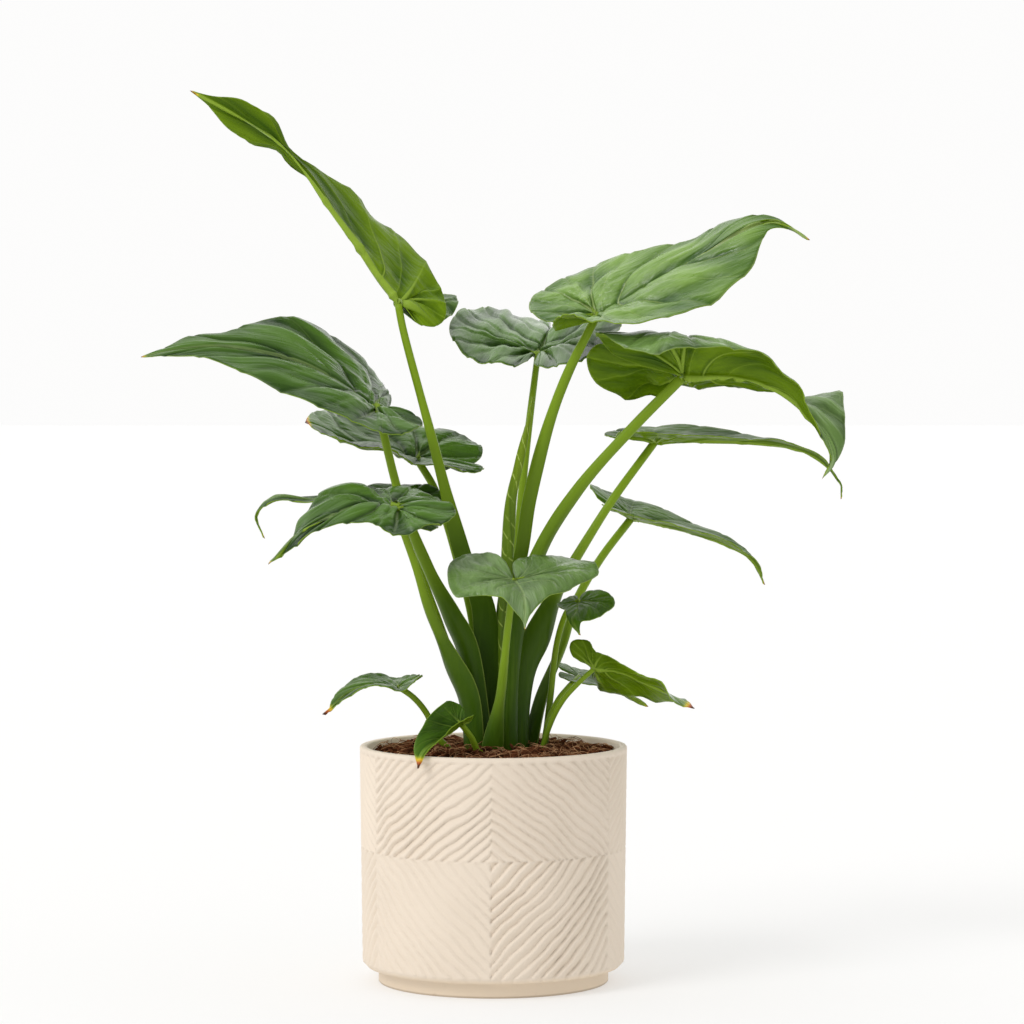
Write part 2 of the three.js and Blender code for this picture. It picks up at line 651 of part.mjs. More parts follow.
    left: {
      lobe: 40, nod: -4, wide: [78, 78, 78, 78, 78, 52, 32, 27, 24, 20], fold: [0, 6, 6, 5],
      curl: [-10, -10, -10, 0],
    },
    right: {
      lobe: 50, nod: -12, wide: [62, 62, 62, 62, 62, 38, 28, 26, 24, 20], fold: [10, 14, 8, 5],
      curl: [-24, -24, -20, 0],
    },
    quilt: 1.8, wave: 2, waves: 6, phase: 0, columns: 5,
    stalk: {
      path: [[-2, -31, 210], [7, -40, 272], [10, -48, 300], [15, -66, 348]],
      wide: [22, 20, 9, 7, 6.5], deep: [8, 8, 8, 7], hug: [3, 1, 0], out: [0, -1, 0],
    },
  },
  {
    name: "small_middle",
    rib: [[79, -22, 357], [77, -42, 350], [73, -60, 341], [80, -66, 328]],
    face: [[0, -0.1, 0.99], [0, -0.8, 0.5]],
    left: { lobe: 20, nod: 0, wide: [34, 34, 30, 30], fold: [0, 0], curl: [0, 0] },
    right: { lobe: 16, nod: 0, wide: [20, 20, 12, 12], fold: [-6, -6, -6, 0], curl: [0, 0] },
    quilt: 0.8, wave: 0.4, waves: 4, phase: 0, columns: 3,
    stalk: {
      path: [[47, 10, 211], [53, 17, 260], [59, 10, 313], [68, -8, 345]],
      wide: [7, 6, 5.5], deep: [7, 6, 5.5], hug: [0, 0], out: [1, 0, 0],
    },
  },
  {
    name: "small_right",
    rib: [[94, -28, 295], [122, -36, 291], [150, -43, 278], [173, -48, 267], [186, -50, 260]],
    face: [[0.41, 0.47, 0.77], [0.41, 0.47, 0.77], [0.45, -0.5, 0.7]],
    left: { lobe: 15, nod: -50, wide: [30, 36, 42, 42, 42, 84, 90], fold: [0, 0], curl: [0, 0] },
    right: {
      lobe: 28, nod: -14, wide: [26, 24, 16, 16, 24, 70, 90], fold: [45, 45, 20, 0, 0, 0, 0],
      curl: [0, 0],
    },
    quilt: 1, wave: 1, waves: 4, phase: 0, columns: 4,
    stalk: {
      path: [[44, -15, 211], [53, -18, 242], [65, -22, 265], [81, -26, 283]],
      wide: [6, 5, 4.5, 4.5], deep: [6, 5, 4.5], hug: [0, 0], out: [1, 0, 0],
    },
  },
  {
    name: "small_right_back",
    rib: [[81, 50, 281], [105, 55, 275], [129, 60, 262], [147, 63, 251]],
    face: [[0.25, -0.12, 0.96], [0.25, -0.12, 0.96]],
    left: { lobe: 22, nod: -8, wide: [24, 24], fold: [0, 0], curl: [0, 0] },
    right: { lobe: 22, nod: 0, wide: [24, 24], fold: [0, 0], curl: [0, 0] },
    quilt: 0.8, wave: 1, waves: 4, phase: 0, columns: 3,
    stalk: {
      path: [[46, -1, 211], [50, 1, 239], [59, 8, 260], [70, 24, 273]],
      wide: [5.5, 5, 4.5], deep: [5.5, 5, 4.5], hug: [0, 0], out: [1, 0, 0],
    },
  },
  {
    name: "small_left",
    rib: [[-88, -20, 277], [-113, -24, 281], [-138, -28, 270], [-158, -30, 252]],
    face: [[0, -0.18, 0.98], [0, -0.2, 0.98], [-0.4, -0.3, 0.85]],
    left: { lobe: 24, nod: -40, wide: [26, 26], fold: [4, 4], curl: [0, 0] },
    right: { lobe: 22, nod: -30, wide: [30, 30], fold: [4, 4], curl: [0, 0] },
    quilt: 0.8, wave: 1, waves: 4, phase: 0, columns: 3,
    stalk: {
      path: [[-38, -14, 211], [-52, -16, 230], [-62, -18, 252], [-74, -20, 267]],
      wide: [7, 6, 5.5], deep: [7, 6, 5.5], hug: [0, 0], out: [-1, 0, 0],
    },
  },
  {
    name: "small_front",
    rib: [
      [-29, -62, 246], [-40, -76, 239], [-50, -90, 234], [-60, -104, 229], [-65, -114, 223],
      [-68, -123, 212],
    ],
    face: [[-0.2, -0.1, 0.95], [-0.3, -0.2, 0.9], [-0.6, -0.3, 0.6]],
    left: { lobe: 12, nod: 0, wide: [13, 13], fold: [30, 30], curl: [0, 0] },
    right: { lobe: 14, nod: -20, wide: [22, 25, 28, 32], fold: [55, 60, 62, 50], curl: [20, 20] },
    quilt: 0.6, wave: 1, waves: 4, phase: 0, columns: 3,
    stalk: {
      path: [[-9, -40, 210], [-15, -47, 221], [-20, -54, 233]],
      wide: [7, 6, 5.5], deep: [7, 6, 5.5], hug: [0, 0], out: [0, -1, 0],
    },
  },
];

// The newest leaf, still rolled into a spear that stands out of a sheath
const SPEAR = {
  path: [
    [11, -10, ROOT_HEIGHT], [9, -5, 212], [9, -7, 320], [14, -14, 409], [17, -17, 451],
    [24, -19, 484], [31, -18, 516], [37, -17, 547],
  ],
  wide: [8, 8, 9, 11, 12, 8, 2], deep: [6, 6, 7, 8, 10, 8, 2], hug: [0, 0],
  out: [0, -1, 0],
};

const COLOURS = {
  blade: { color: 0x4c7a2e, roughness: 0.4, metalness: 0 },
  stalk: { color: 0x6f9a3a, roughness: 0.5, metalness: 0 },
  spear: { color: 0xa9bf4a, roughness: 0.45, metalness: 0 },
  rootstock: { color: 0x8a6a48, roughness: 0.9, metalness: 0 },
  soil: { color: 0x5b3a26, roughness: 0.95, metalness: 0 },
  pot: { color: 0xe6dccf, roughness: 0.75, metalness: 0 },
};

const plant = new THREE.Group();

function addPiece(name, geometry, finish) {
  const mesh = new THREE.Mesh(geometry, new THREE.MeshStandardMaterial(COLOURS[finish]));
  mesh.name = name;
  plant.add(mesh);
}

for (const leaf of LEAVES) {
  leaf.curve = new THREE.CatmullRomCurve3(leaf.rib.map(vector), false, "catmullrom", 0.5);
  leaf.midrib = leaf.curve.getSpacedPoints(MIDRIB_PLACES);
  const joint = midribFrame(leaf, 0);
  const root = leaf.stalk.path[0];
  leaf.stalk.path.unshift([root[0] * ROOT_INSET, root[1] * ROOT_INSET, ROOT_HEIGHT]);
  leaf.stalk.path.push(joint.point.toArray());
  addPiece(`blade_${leaf.name}`, bladeBody(leaf), "blade");
}

const rootstock = rootstockBody();
const seat = rootstockBody(ROOT_GAP);
const bladeCuts = LEAVES.map((leaf) => solid(bladeBody(leaf, 2 * SEAT_GAP)));
let holes = rootstockBody(SEAT_GAP);
LEAVES.forEach((leaf, i) => {
  const cuts = seat.add(bladeCuts[i]).add(slabAbove(leaf));
  const stalk = solid(stalkBody(leaf.stalk)).subtract(cuts);
  addPiece(`stalk_${leaf.name}`, geometryOf(largestBody(stalk)), "stalk");
  holes = holes.add(solid(stalkBody(leaf.stalk, SEAT_GAP)));
});
const spear = solid(stalkBody(SPEAR)).subtract(seat);
addPiece("rolled_leaf", geometryOf(largestBody(spear)), "spear");
holes = holes.add(solid(stalkBody(SPEAR, SEAT_GAP)));

addPiece("rootstock", geometryOf(rootstock), "rootstock");
addPiece("potting_mix", geometryOf(largestBody(soilBody().subtract(holes))), "soil");
addPiece("pot", geometryOf(potBody()), "pot");

export default plant;
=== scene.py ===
# %% [markdown]
# Potted Chinese taro
#
# This lesson dresses the plain solids of a potted Chinese taro, Alocasia cucullata. The plant has
# heart-shaped leaves on long stalks, one leaf still rolled, and stands in a pot carved with
# slanting ribs. The solids are the frame: they give every size and place. Each step makes one
# piece finer than its solid, and gives it a material made of nodes.

import math
import random

import bmesh
import bpy
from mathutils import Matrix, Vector, noise


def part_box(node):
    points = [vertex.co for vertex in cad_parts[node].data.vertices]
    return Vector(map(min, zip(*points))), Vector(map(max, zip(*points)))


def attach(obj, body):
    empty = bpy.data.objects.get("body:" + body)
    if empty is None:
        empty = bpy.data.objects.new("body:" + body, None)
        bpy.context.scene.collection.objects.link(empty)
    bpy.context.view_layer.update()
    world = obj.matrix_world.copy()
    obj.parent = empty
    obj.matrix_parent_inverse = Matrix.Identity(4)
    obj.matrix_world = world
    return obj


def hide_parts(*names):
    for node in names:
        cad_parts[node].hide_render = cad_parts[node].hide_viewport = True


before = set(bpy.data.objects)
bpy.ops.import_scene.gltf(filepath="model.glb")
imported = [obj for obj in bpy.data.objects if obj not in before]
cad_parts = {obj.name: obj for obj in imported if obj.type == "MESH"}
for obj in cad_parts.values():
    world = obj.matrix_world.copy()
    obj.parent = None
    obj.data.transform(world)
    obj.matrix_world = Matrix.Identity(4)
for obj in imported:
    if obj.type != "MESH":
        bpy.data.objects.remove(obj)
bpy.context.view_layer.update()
MM = 0.001
print("solids in the frame:", len(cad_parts))

# %% [markdown]
# Pieces
#
# Every piece is built in a bmesh and then handed over in the same way: it becomes an object at
# the origin, gets smooth shading and its materials, rides on the part's one body and takes the
# place of its solids. One function does it for all of them.

# %% Handing over a piece
def add_piece(name, bm, materials, slot, *solids):
    mesh = bpy.data.meshes.new(name)
    bm.to_mesh(mesh)
    bm.free()
    for polygon in mesh.polygons:
        polygon.use_smooth = True
    for material in materials:
        mesh.materials.append(material)
    piece = bpy.data.objects.new(name, mesh)
    bpy.context.scene.collection.objects.link(piece)
    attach(piece, "root")
    if solids:
        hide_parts(*solids)
    print(name, len(mesh.polygons), "faces")
    return piece


# %% [markdown]
# Materials
#
# A material is a small network of nodes. Written out one by one the nodes would fill pages, so
# this helper adds a node, sets it and links it in one line. Patterns read the object's own
# coordinates or numbers stored on the mesh, never the camera, so they stay on the surface.

# %% A network of nodes
class Network:
    def __init__(self, owner):
        owner.use_nodes = True
        self.tree = owner.node_tree

    def add(self, kind, inputs, **settings):
        node = self.tree.nodes.new(kind)
        for key, value in settings.items():
            setattr(node, key, value)
        for key, value in inputs.items():
            self.feed(node.inputs[key], value)
        return node

    def feed(self, socket, value):
        if isinstance(value, bpy.types.NodeSocket):
            self.tree.links.new(value, socket)
        else:
            socket.default_value = value

    def math(self, operation, first, second):
        node = self.add("ShaderNodeMath", {0: first, 1: second}, operation=operation)
        return node.outputs[0]

    def plus(self, first, second):
        return self.math("ADD", first, second)

    def times(self, first, second):
        return self.math("MULTIPLY", first, second)

    def fade(self, value, low, high, start=0.0, end=1.0):
        ranges = {"Value": value, "From Min": low, "From Max": high, "To Min": start, "To Max": end}
        return self.add("ShaderNodeMapRange", ranges, interpolation_type="SMOOTHSTEP").outputs[0]


# %% Paint, a network for one material
class Paint(Network):
    def __init__(self, name):
        self.material = bpy.data.materials.new(name)
        super().__init__(self.material)
        self.shader = self.tree.nodes["Principled BSDF"]
        self.place = self.add("ShaderNodeTexCoord", {}).outputs["Object"]

    def mark(self, name):
        return self.add("ShaderNodeAttribute", {}, attribute_name=name).outputs["Fac"]

    def clouds(self, scale, detail=2.0, stretch=None):
        place = self.place
        if stretch:
            place = self.add("ShaderNodeMapping", {"Vector": place, "Scale": stretch}).outputs[0]
        inputs = {"Vector": place, "Scale": scale, "Detail": detail}
        return self.add("ShaderNodeTexNoise", inputs).outputs["Fac"]

    def mix(self, factor, first, second):
        inputs = {0: factor, 6: first, 7: second}
        return self.add("ShaderNodeMix", inputs, data_type="RGBA").outputs[2]

    def ramp(self, value, stops):
        node = self.add("ShaderNodeValToRGB", {"Fac": value})
        elements = node.color_ramp.elements
        while len(elements) < len(stops):
            elements.new(0.5)
        for element, (position, colour) in zip(elements, stops):
            element.position = position
            element.color = (*colour, 1)
        return node.outputs["Color"]

    def bump(self, height, distance, strength=1.0):
        inputs = {"Height": height, "Distance": distance, "Strength": strength}
        self.feed(self.shader.inputs["Normal"], self.add("ShaderNodeBump", inputs).outputs[0])

    def wear(self, **sockets):
        for key, value in sockets.items():
            self.feed(self.shader.inputs[key.replace("_", " ")], value)
        return self.material


# %% [markdown]
# The pot: shape
#
# The pot is a turned form, so its wall, rim, foot and inside are one profile spun round the axis.
# Slanting grooves were then gouged into the wall by hand: six panels in two rows, mirrored at
# every seam. A sculpted mesh would lose the even pitch, and a bump map would leave the outline
# smooth, so a formula moves every point of the wall in. Each groove falls off gently on one side
# and rises steeply on the other. As a carver's hand would, the formula lets the grooves sway,
# starts them a little further on in each panel, and cuts some panels deeper than others.

# %% Pot sizes, from its solid and a few driving dimensions
pot_low, pot_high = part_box("pot")
POT_HEIGHT = pot_high.z
RIM_RADIUS = (pot_high.x - pot_low.x) / 2
WALL_FOOT_RADIUS = RIM_RADIUS - 2.3 * MM
WALL_THICKNESS = 7 * MM
INNER_RADIUS = RIM_RADIUS - WALL_THICKNESS
WALL_BOTTOM = 19.6 * MM
WALL_TOP = POT_HEIGHT - 4.4 * MM
CORNER = 4.6 * MM
FOOT_RADIUS = 107.6 * MM
FLOOR_THICKNESS = 27 * MM
CAVITY_FOOT_RADIUS = 110 * MM
ROUNDING = 0.8 * MM
print("pot height and rim radius:", round(POT_HEIGHT, 4), round(RIM_RADIUS, 4))

# %% Carving of the wall
PANEL = math.radians(60)
SEAM = math.radians(-91.3)
MIDDLE = 127 * MM
RIBS_ACROSS = 10
RIBS_ABOVE = 9
RIBS_BELOW = 8.5
CARVING_DEPTH = 2.4 * MM
DEPTH_SWELL = 0.5
SWELLS_PER_METRE = 17
SWAYS = ((0.55, 24), (0.16, 60))
STEEP_SHARE = 0.2
FALL_POWER = 1.7
PANEL_SHIFT = 0.4
DEPTHS_BELOW = (1.3, 0.6)


def carving(spot):
    turn = (math.atan2(spot.y, spot.x) - SEAM) / PANEL
    side = math.floor(turn) % 2
    offset = PANEL_SHIFT * side
    depth = CARVING_DEPTH * (1 + DEPTH_SWELL * noise.noise(spot * SWELLS_PER_METRE))
    across = abs(turn - 2 * math.floor(turn / 2 + 0.5)) * RIBS_ACROSS
    if spot.z > MIDDLE:
        up = (spot.z - MIDDLE) / (WALL_TOP - MIDDLE) * RIBS_ABOVE
    else:
        up = (MIDDLE - spot.z) / (MIDDLE - WALL_BOTTOM) * RIBS_BELOW
        offset += PANEL_SHIFT
        depth *= DEPTHS_BELOW[side]
    sway = sum(size * noise.noise(spot * per_metre) for size, per_metre in SWAYS)
    share = (across + up + sway + offset) % 1
    if share < STEEP_SHARE:
        rise = math.sin(share / STEEP_SHARE * math.pi / 2)
    else:
        rise = 1 - ((share - STEEP_SHARE) / (1 - STEEP_SHARE)) ** FALL_POWER
    return depth * (1 - rise)


print("pitch of the ribs round the wall:", round(PANEL * RIM_RADIUS / RIBS_ACROSS / MM, 1), "mm")


# %% Turning a profile
def turn_profile(profile, fine_edge, cuts, steps):
    bm = bmesh.new()
    verts = [bm.verts.new((radius, 0, height)) for radius, height in profile]
    edges = [bm.edges.new(pair) for pair in zip(verts, verts[1:])]
    bmesh.ops.subdivide_edges(bm, edges=[edges[fine_edge]], cuts=cuts)
    bmesh.ops.spin(
        bm, geom=bm.verts[:] + bm.edges[:], cent=(0, 0, 0), axis=(0, 0, 1),
        angle=2 * math.pi, steps=steps, use_merge=True,
    )
    bmesh.ops.remove_doubles(bm, verts=bm.verts, dist=0.001 * MM)
    bmesh.ops.recalc_face_normals(bm, faces=bm.faces)
    return bm


# %% Pot mesh
POT_STEPS = 540
WALL_CUTS = 164
SLACK = 0.1 * MM


def pot_mesh():
    wall_edge = [(WALL_FOOT_RADIUS, WALL_BOTTOM), (RIM_RADIUS, WALL_TOP)]
    profile = [
        (0, 0),
        (FOOT_RADIUS - ROUNDING, 0),
        (FOOT_RADIUS, ROUNDING),
        (FOOT_RADIUS, WALL_BOTTOM - CORNER),
        (WALL_FOOT_RADIUS - CORNER, WALL_BOTTOM - CORNER),
        *wall_edge,
        (RIM_RADIUS, POT_HEIGHT - 2 * ROUNDING),
        (RIM_RADIUS - ROUNDING, POT_HEIGHT - ROUNDING / 2),
        (RIM_RADIUS - 2.5 * ROUNDING, POT_HEIGHT),
        (INNER_RADIUS + 2.5 * ROUNDING, POT_HEIGHT),
        (INNER_RADIUS + ROUNDING, POT_HEIGHT - ROUNDING / 2),
        (INNER_RADIUS, POT_HEIGHT - 2 * ROUNDING),
        (CAVITY_FOOT_RADIUS, FLOOR_THICKNESS),
        (0, FLOOR_THICKNESS),
    ]
    bm = turn_profile(profile, profile.index(wall_edge[0]), WALL_CUTS, POT_STEPS)
    hollow = bm.verts.layers.float.new("hollow")
    for vert in bm.verts:
        radius = vert.co.xy.length
        if radius > WALL_FOOT_RADIUS - SLACK and WALL_BOTTOM - SLACK < vert.co.z < WALL_TOP:
            depth = carving(vert.co)
            vert[hollow] = depth / CARVING_DEPTH
            vert.co.xy *= 1 - depth / radius
    return bm


# %% [markdown]
# The pot: finish
#
# The pot is unglazed, cream and matte. Its foot is yellower, and lifted a little as painted light
# where it sits in shade, with faint stains and a dark line of painted contact shadow where it
# stands. The inside of the wall is bare, and painted lighter as painted light on a wall in shade.
# A painted picture could hold all that, but it would need unwrapping and would blur up close.
# Nodes stay sharp: soft clouds vary the cream, the depth that the carving stored on the mesh
# darkens the grooves as painted shade, and fine grain and pinholes roughen the surface.

# %% Pot material
def pot_material():
    paint = Paint("cream stoneware")
    clouds = paint.clouds(14, 4)
    grain = paint.clouds(900, 3)
    cream = paint.mix(clouds, (0.74, 0.632, 0.51, 1), (0.82, 0.715, 0.595, 1))
    # Painted shade: the carving depth stored on the mesh darkens the cream in the grooves.
    painted_groove_shade = paint.fade(paint.mark("hollow"), 0.6, 1.3, 0.0, 0.15)
    cream = paint.mix(painted_groove_shade, cream, (0.60, 0.48, 0.35, 1))
    height = paint.add("ShaderNodeSeparateXYZ", {"Vector": paint.place}).outputs["Z"]
    # The foot's own yellower tone, lifted a little as painted light on a ring that sits in shade;
    # the stains use the same mask.
    foot = paint.fade(height, WALL_BOTTOM, WALL_BOTTOM - CORNER, 0.0, 0.55)
    cream = paint.mix(foot, cream, (0.86, 0.70, 0.51, 1))
    stain = paint.times(paint.fade(paint.clouds(60, 5), 0.6, 0.8), foot)
    cream = paint.mix(stain, cream, (0.5, 0.39, 0.27, 1))
    # Painted contact shadow: a dark band in the lowest few millimetres of the foot, where it
    # stands.
    painted_contact_shadow = paint.fade(height, 0.5 * MM, 2.5 * MM, 0.6, 0.0)
    cream = paint.mix(painted_contact_shadow, cream, (0.30, 0.22, 0.14, 1))
    flat = paint.add("ShaderNodeVectorMath", {0: paint.place, 1: (1, 1, 0)}, operation="MULTIPLY")
    reach = paint.add("ShaderNodeVectorMath", {0: flat.outputs[0]}, operation="LENGTH")
    radius = reach.outputs["Value"]
    # Painted light: the bare inside of the wall, above the cavity floor, is made lighter, as light
    # on a wall in shade.
    painted_inside_light = paint.fade(radius, INNER_RADIUS + 1.5 * MM, INNER_RADIUS + 0.2 * MM, 0.0, 0.9)
    above = paint.fade(height, FLOOR_THICKNESS, 2 * FLOOR_THICKNESS)
    cream = paint.mix(paint.times(painted_inside_light, above), cream, (0.98, 0.84, 0.67, 1))
    pinhole = paint.add("ShaderNodeTexVoronoi", {"Vector": paint.place, "Scale": 160.0})
    hole = paint.fade(pinhole.outputs["Distance"], 0.05, 0.16)
    paint.bump(paint.plus(paint.times(hole, 0.6), grain), 0.25 * MM, 0.5)
    return paint.wear(Base_Color=cream, Roughness=paint.fade(clouds, 0.3, 0.7, 0.62, 0.8))


add_piece("ribbed_pot", pot_mesh(), [pot_material()], "pot", "pot")

# %% [markdown]
# The potting mix
#
# The pot is filled with coir: dark red dust, brown chips and paler fibres from coconut husk. A
# bump map on a flat disc would look like a print. So the filling is one turned plug with a rough
# dome, and chips and fibres are separate small shapes. They are laid on the dome at random from
# a fixed seed, because their raised ends and shadows make the mix look loose.

# %% Surface of the mix
SOIL_RIM_DROP = 7.5 * MM
SOIL_DOME = 6 * MM
SOIL_BUMP = 2.2 * MM
CRUMB_PITCH = 9 * MM


def soil_height(x, y):
    away = math.hypot(x, y) / INNER_RADIUS
    crumbs = math.sin(x / CRUMB_PITCH) * math.cos(y / CRUMB_PITCH + 1)
    crumbs += 0.6 * math.sin((x + y) / (0.62 * CRUMB_PITCH) + 2)
    return POT_HEIGHT - SOIL_RIM_DROP + SOIL_DOME * (1 - away * away) + SOIL_BUMP * crumbs


print("height of the mix in the middle:", round(soil_height(0, 0), 4))

# %% Mesh of the mix
SOIL_RADIUS = INNER_RADIUS - 0.9 * MM
BLANK_TOP = 0.2
GRIT_PER_METRE = 160
GRIT_HEIGHT = 2.2 * MM


def soil_mesh():
    bottom = FLOOR_THICKNESS + 0.3 * MM
    low = CAVITY_FOOT_RADIUS - 0.5 * MM
    profile = [(0, BLANK_TOP), (SOIL_RADIUS, BLANK_TOP), (low, bottom), (0, bottom)]
    bm = turn_profile(profile, fine_edge=0, cuts=70, steps=220)
    for vert in bm.verts:
        if vert.co.z > BLANK_TOP / 2:
            grit = noise.turbulence(vert.co * GRIT_PER_METRE, 3, False) - 0.5
            vert.co.z = soil_height(vert.co.x, vert.co.y) + GRIT_HEIGHT * grit
    return bm


# %% Coir material
def coir_material(name, dark, light):
    paint = Paint(name)
    clumps = paint.clouds(120, 4)
    threads = paint.clouds(900, 2, (1.0, 0.25, 0.4))
    brown = paint.mix(paint.fade(clumps, 0.3, 0.7), dark, light)
    brown = paint.mix(paint.fade(threads, 0.5, 0.8, 0.0, 0.7), brown, (0.24, 0.085, 0.035, 1))
    paint.bump(threads, 0.6 * MM, 0.8)
    paint.wear(Specular_IOR_Level=0.0)
    return paint.wear(Base_Color=brown, Roughness=paint.fade(clumps, 0.2, 0.8, 0.75, 0.95))


soil_finish = coir_material("coir dust", (0.009, 0.003, 0.001, 1), (0.060, 0.018, 0.007, 1))
add_piece("coir_mix", soil_mesh(), [soil_finish], "potting_mix", "potting_mix")


# %% Chips of husk
def scatter(bm, make, count, seed, spread):
    chance = random.Random(seed)
    for _ in range(count):
        away = SOIL_RADIUS * spread * math.sqrt(chance.random())
        turn = chance.uniform(0, 2 * math.pi)
        x, y = away * math.cos(turn), away * math.sin(turn)
        make(bm, chance, Vector((x, y, soil_height(x, y))))


def husk_chip(bm, chance, spot):
    verts = bmesh.ops.create_icosphere(bm, subdivisions=1, radius=1)["verts"]
    long = chance.uniform(2.5, 8) * MM
    size = Vector((long, long * chance.uniform(0.3, 0.6), long * chance.uniform(0.15, 0.4)))
    heading, tip = chance.uniform(0, math.pi), chance.uniform(-0.5, 0.5)
    along = Vector((math.cos(heading), math.sin(heading), tip)).normalized()
    beside = along.cross(Vector((chance.uniform(-0.6, 0.6), 0.2, 1))).normalized()
    above = beside.cross(along)
    for vert in verts:
        jag = chance.uniform(0.7, 1.25)
        x, y, z = vert.co * jag
        vert.co = spot + along * x * size.x + beside * y * size.y + above * z * size.z


chips = bmesh.new()
scatter(chips, husk_chip, count=1200, seed=4, spread=0.97)
chip_finish = coir_material("husk chips", (0.028, 0.009, 0.004, 1), (0.175, 0.062, 0.027, 1))
add_piece("coir_chips", chips, [chip_finish], "potting_mix")

# %% Loose fibres
FIBRE_EDGE = SOIL_RADIUS - 2 * MM
FIBRE_REST = 1.2 * MM


def husk_fibre(bm, chance, spot):
    verts = bmesh.ops.create_grid(bm, x_segments=3, y_segments=6, size=0.5)["verts"]
    length = chance.uniform(8, 30) * MM
    heading = chance.uniform(0, 2 * math.pi)
    bend = chance.uniform(-1.8, 1.8)
    lift = chance.uniform(0.5, 5.5) * MM
    thick = chance.uniform(0.25, 0.6) * MM
    for vert in verts:
        place, round_it = vert.co.y + 0.5, (vert.co.x + 0.5) * 2 * math.pi
        way = heading + bend * (place - 0.5)
        reach = length * (place - 0.5)
        x = spot.x + reach * math.cos(way)
        y = spot.y + reach * math.sin(way)
        away = math.hypot(x, y)
        if away > FIBRE_EDGE:
            x, y = x * FIBRE_EDGE / away, y * FIBRE_EDGE / away
        z = soil_height(x, y) + FIBRE_REST + lift * math.sin(math.pi * place)
        ring = thick * (1 - 0.7 * abs(2 * place - 1))
        side = Vector((-math.sin(way), math.cos(way), 0))
        vert.co = Vector((x, y, z)) + side * ring * math.cos(round_it)
        vert.co.z += ring * math.sin(round_it)


fibres = bmesh.new()
scatter(fibres, husk_fibre, count=420, seed=9, spread=0.95)
bmesh.ops.remove_doubles(fibres, verts=fibres.verts, dist=0.001 * MM)
fibre_finish = coir_material("coir fibres", (0.17, 0.07, 0.03, 1), (0.66, 0.38, 0.20, 1))
add_piece("coir_fibres", fibres, [fibre_finish], "potting_mix")

# %% [markdown]
# Smooth curves
#
# Midribs and stalks are curves through a few given points. Blender's own curve objects
# could draw them, but each leaf needs to know where its curve is, and which way it points, at any
# share of its length. So the curve is sampled once at even lengths. Widths and angles that change
# along a piece are eased between stations.

# %% Easing between stations, and through points
def station(place, count):
    step = min(max(place, 0), 1) * (count - 1)
    first = min(int(step), count - 2)
    return first, step - first


def between(stations, place):
    first, share = station(place, len(stations))
    share = share * share * (3 - 2 * share)
    return stations[first] + (stations[first + 1] - stations[first]) * share


def curve_point(points, place):
    first, t = station(place, len(points))
    start, end = points[first], points[first + 1]
    before = points[first - 1] if first else 2 * start - end
    after = points[first + 2] if first + 2 < len(points) else 2 * end - start
    leave, arrive = (end - before) / 2, (after - start) / 2
    ease = t * t * (3 - 2 * t)
    return start.lerp(end, ease) + leave * t * (1 - t) ** 2 - arrive * t * t * (1 - t)


# %% A curve sampled at even lengths
FINE_STEPS = 600
EVEN_STEPS = 160


class Curve:
    def __init__(self, points):
        fine = [curve_point(points, i / FINE_STEPS) for i in range(FINE_STEPS + 1)]
        lengths = [0]
        for one, two in zip(fine, fine[1:]):
            lengths.append(lengths[-1] + (two - one).length)
        self.length = lengths[-1]
        self.spots = []
        k = 0
        for i in range(EVEN_STEPS + 1):
            goal = self.length * i / EVEN_STEPS
            while k < FINE_STEPS - 1 and lengths[k + 1] < goal:
                k += 1
            share = (goal - lengths[k]) / (lengths[k + 1] - lengths[k])
            self.spots.append(fine[k].lerp(fine[k + 1], share))
        ends = [self.spots[0]] + self.spots + [self.spots[-1]]
        self.ways = [(two - one).normalized() for one, two in zip(ends, ends[2:])]

    def at(self, place):
        first, share = station(place, len(self.spots))
        spot = self.spots[first].lerp(self.spots[first + 1], share)
        return spot, self.ways[first].lerp(self.ways[first + 1], share).normalized()


def in_metres(points):
    return [Vector(point) * MM for point in points]


arch = Curve(in_metres([(0, 0, 0), (50, 0, 50), (100, 0, 0)]))
print("a small arch for a test is", round(arch.length, 4), "m long")

# %% [markdown]
# The leaves
#
# All sixteen blades are the same flat heart, laid along a midrib of its own. The two halves of a
# blade have their own width, and leave the midrib at a fold angle and bend on by a curl angle, so
# that a blade can lie open, stand in a V or roll over. Modelling each blade by hand would take
# sixteen meshes, and their veins would never match. Here a leaf is a few rows of numbers instead,
# in millimetres and degrees in the part's own frame, and what isn't given is as usual. rib is the
# midrib, face is where the blade looks, and wide, fold and curl run from the lobe to the tip. For
# the stalk, path leads up to the blade, and hug and out shape the sheath.

# %% Writing down a leaf
LEAVES = {}
USUAL_LEAF = {"skin": "deep", "crease": 1.8, "pucker": 0, "tip": 0.5, "phase": 0}


def half(**given):
    return {"nod": 0, "curl": (0, 0)} | given


def tube(**given):
    return {"deep": (8, 8)} | given


def add_leaf(name, **given):
    LEAVES[name] = USUAL_LEAF | given | {"seed": 3.7 * len(LEAVES)}


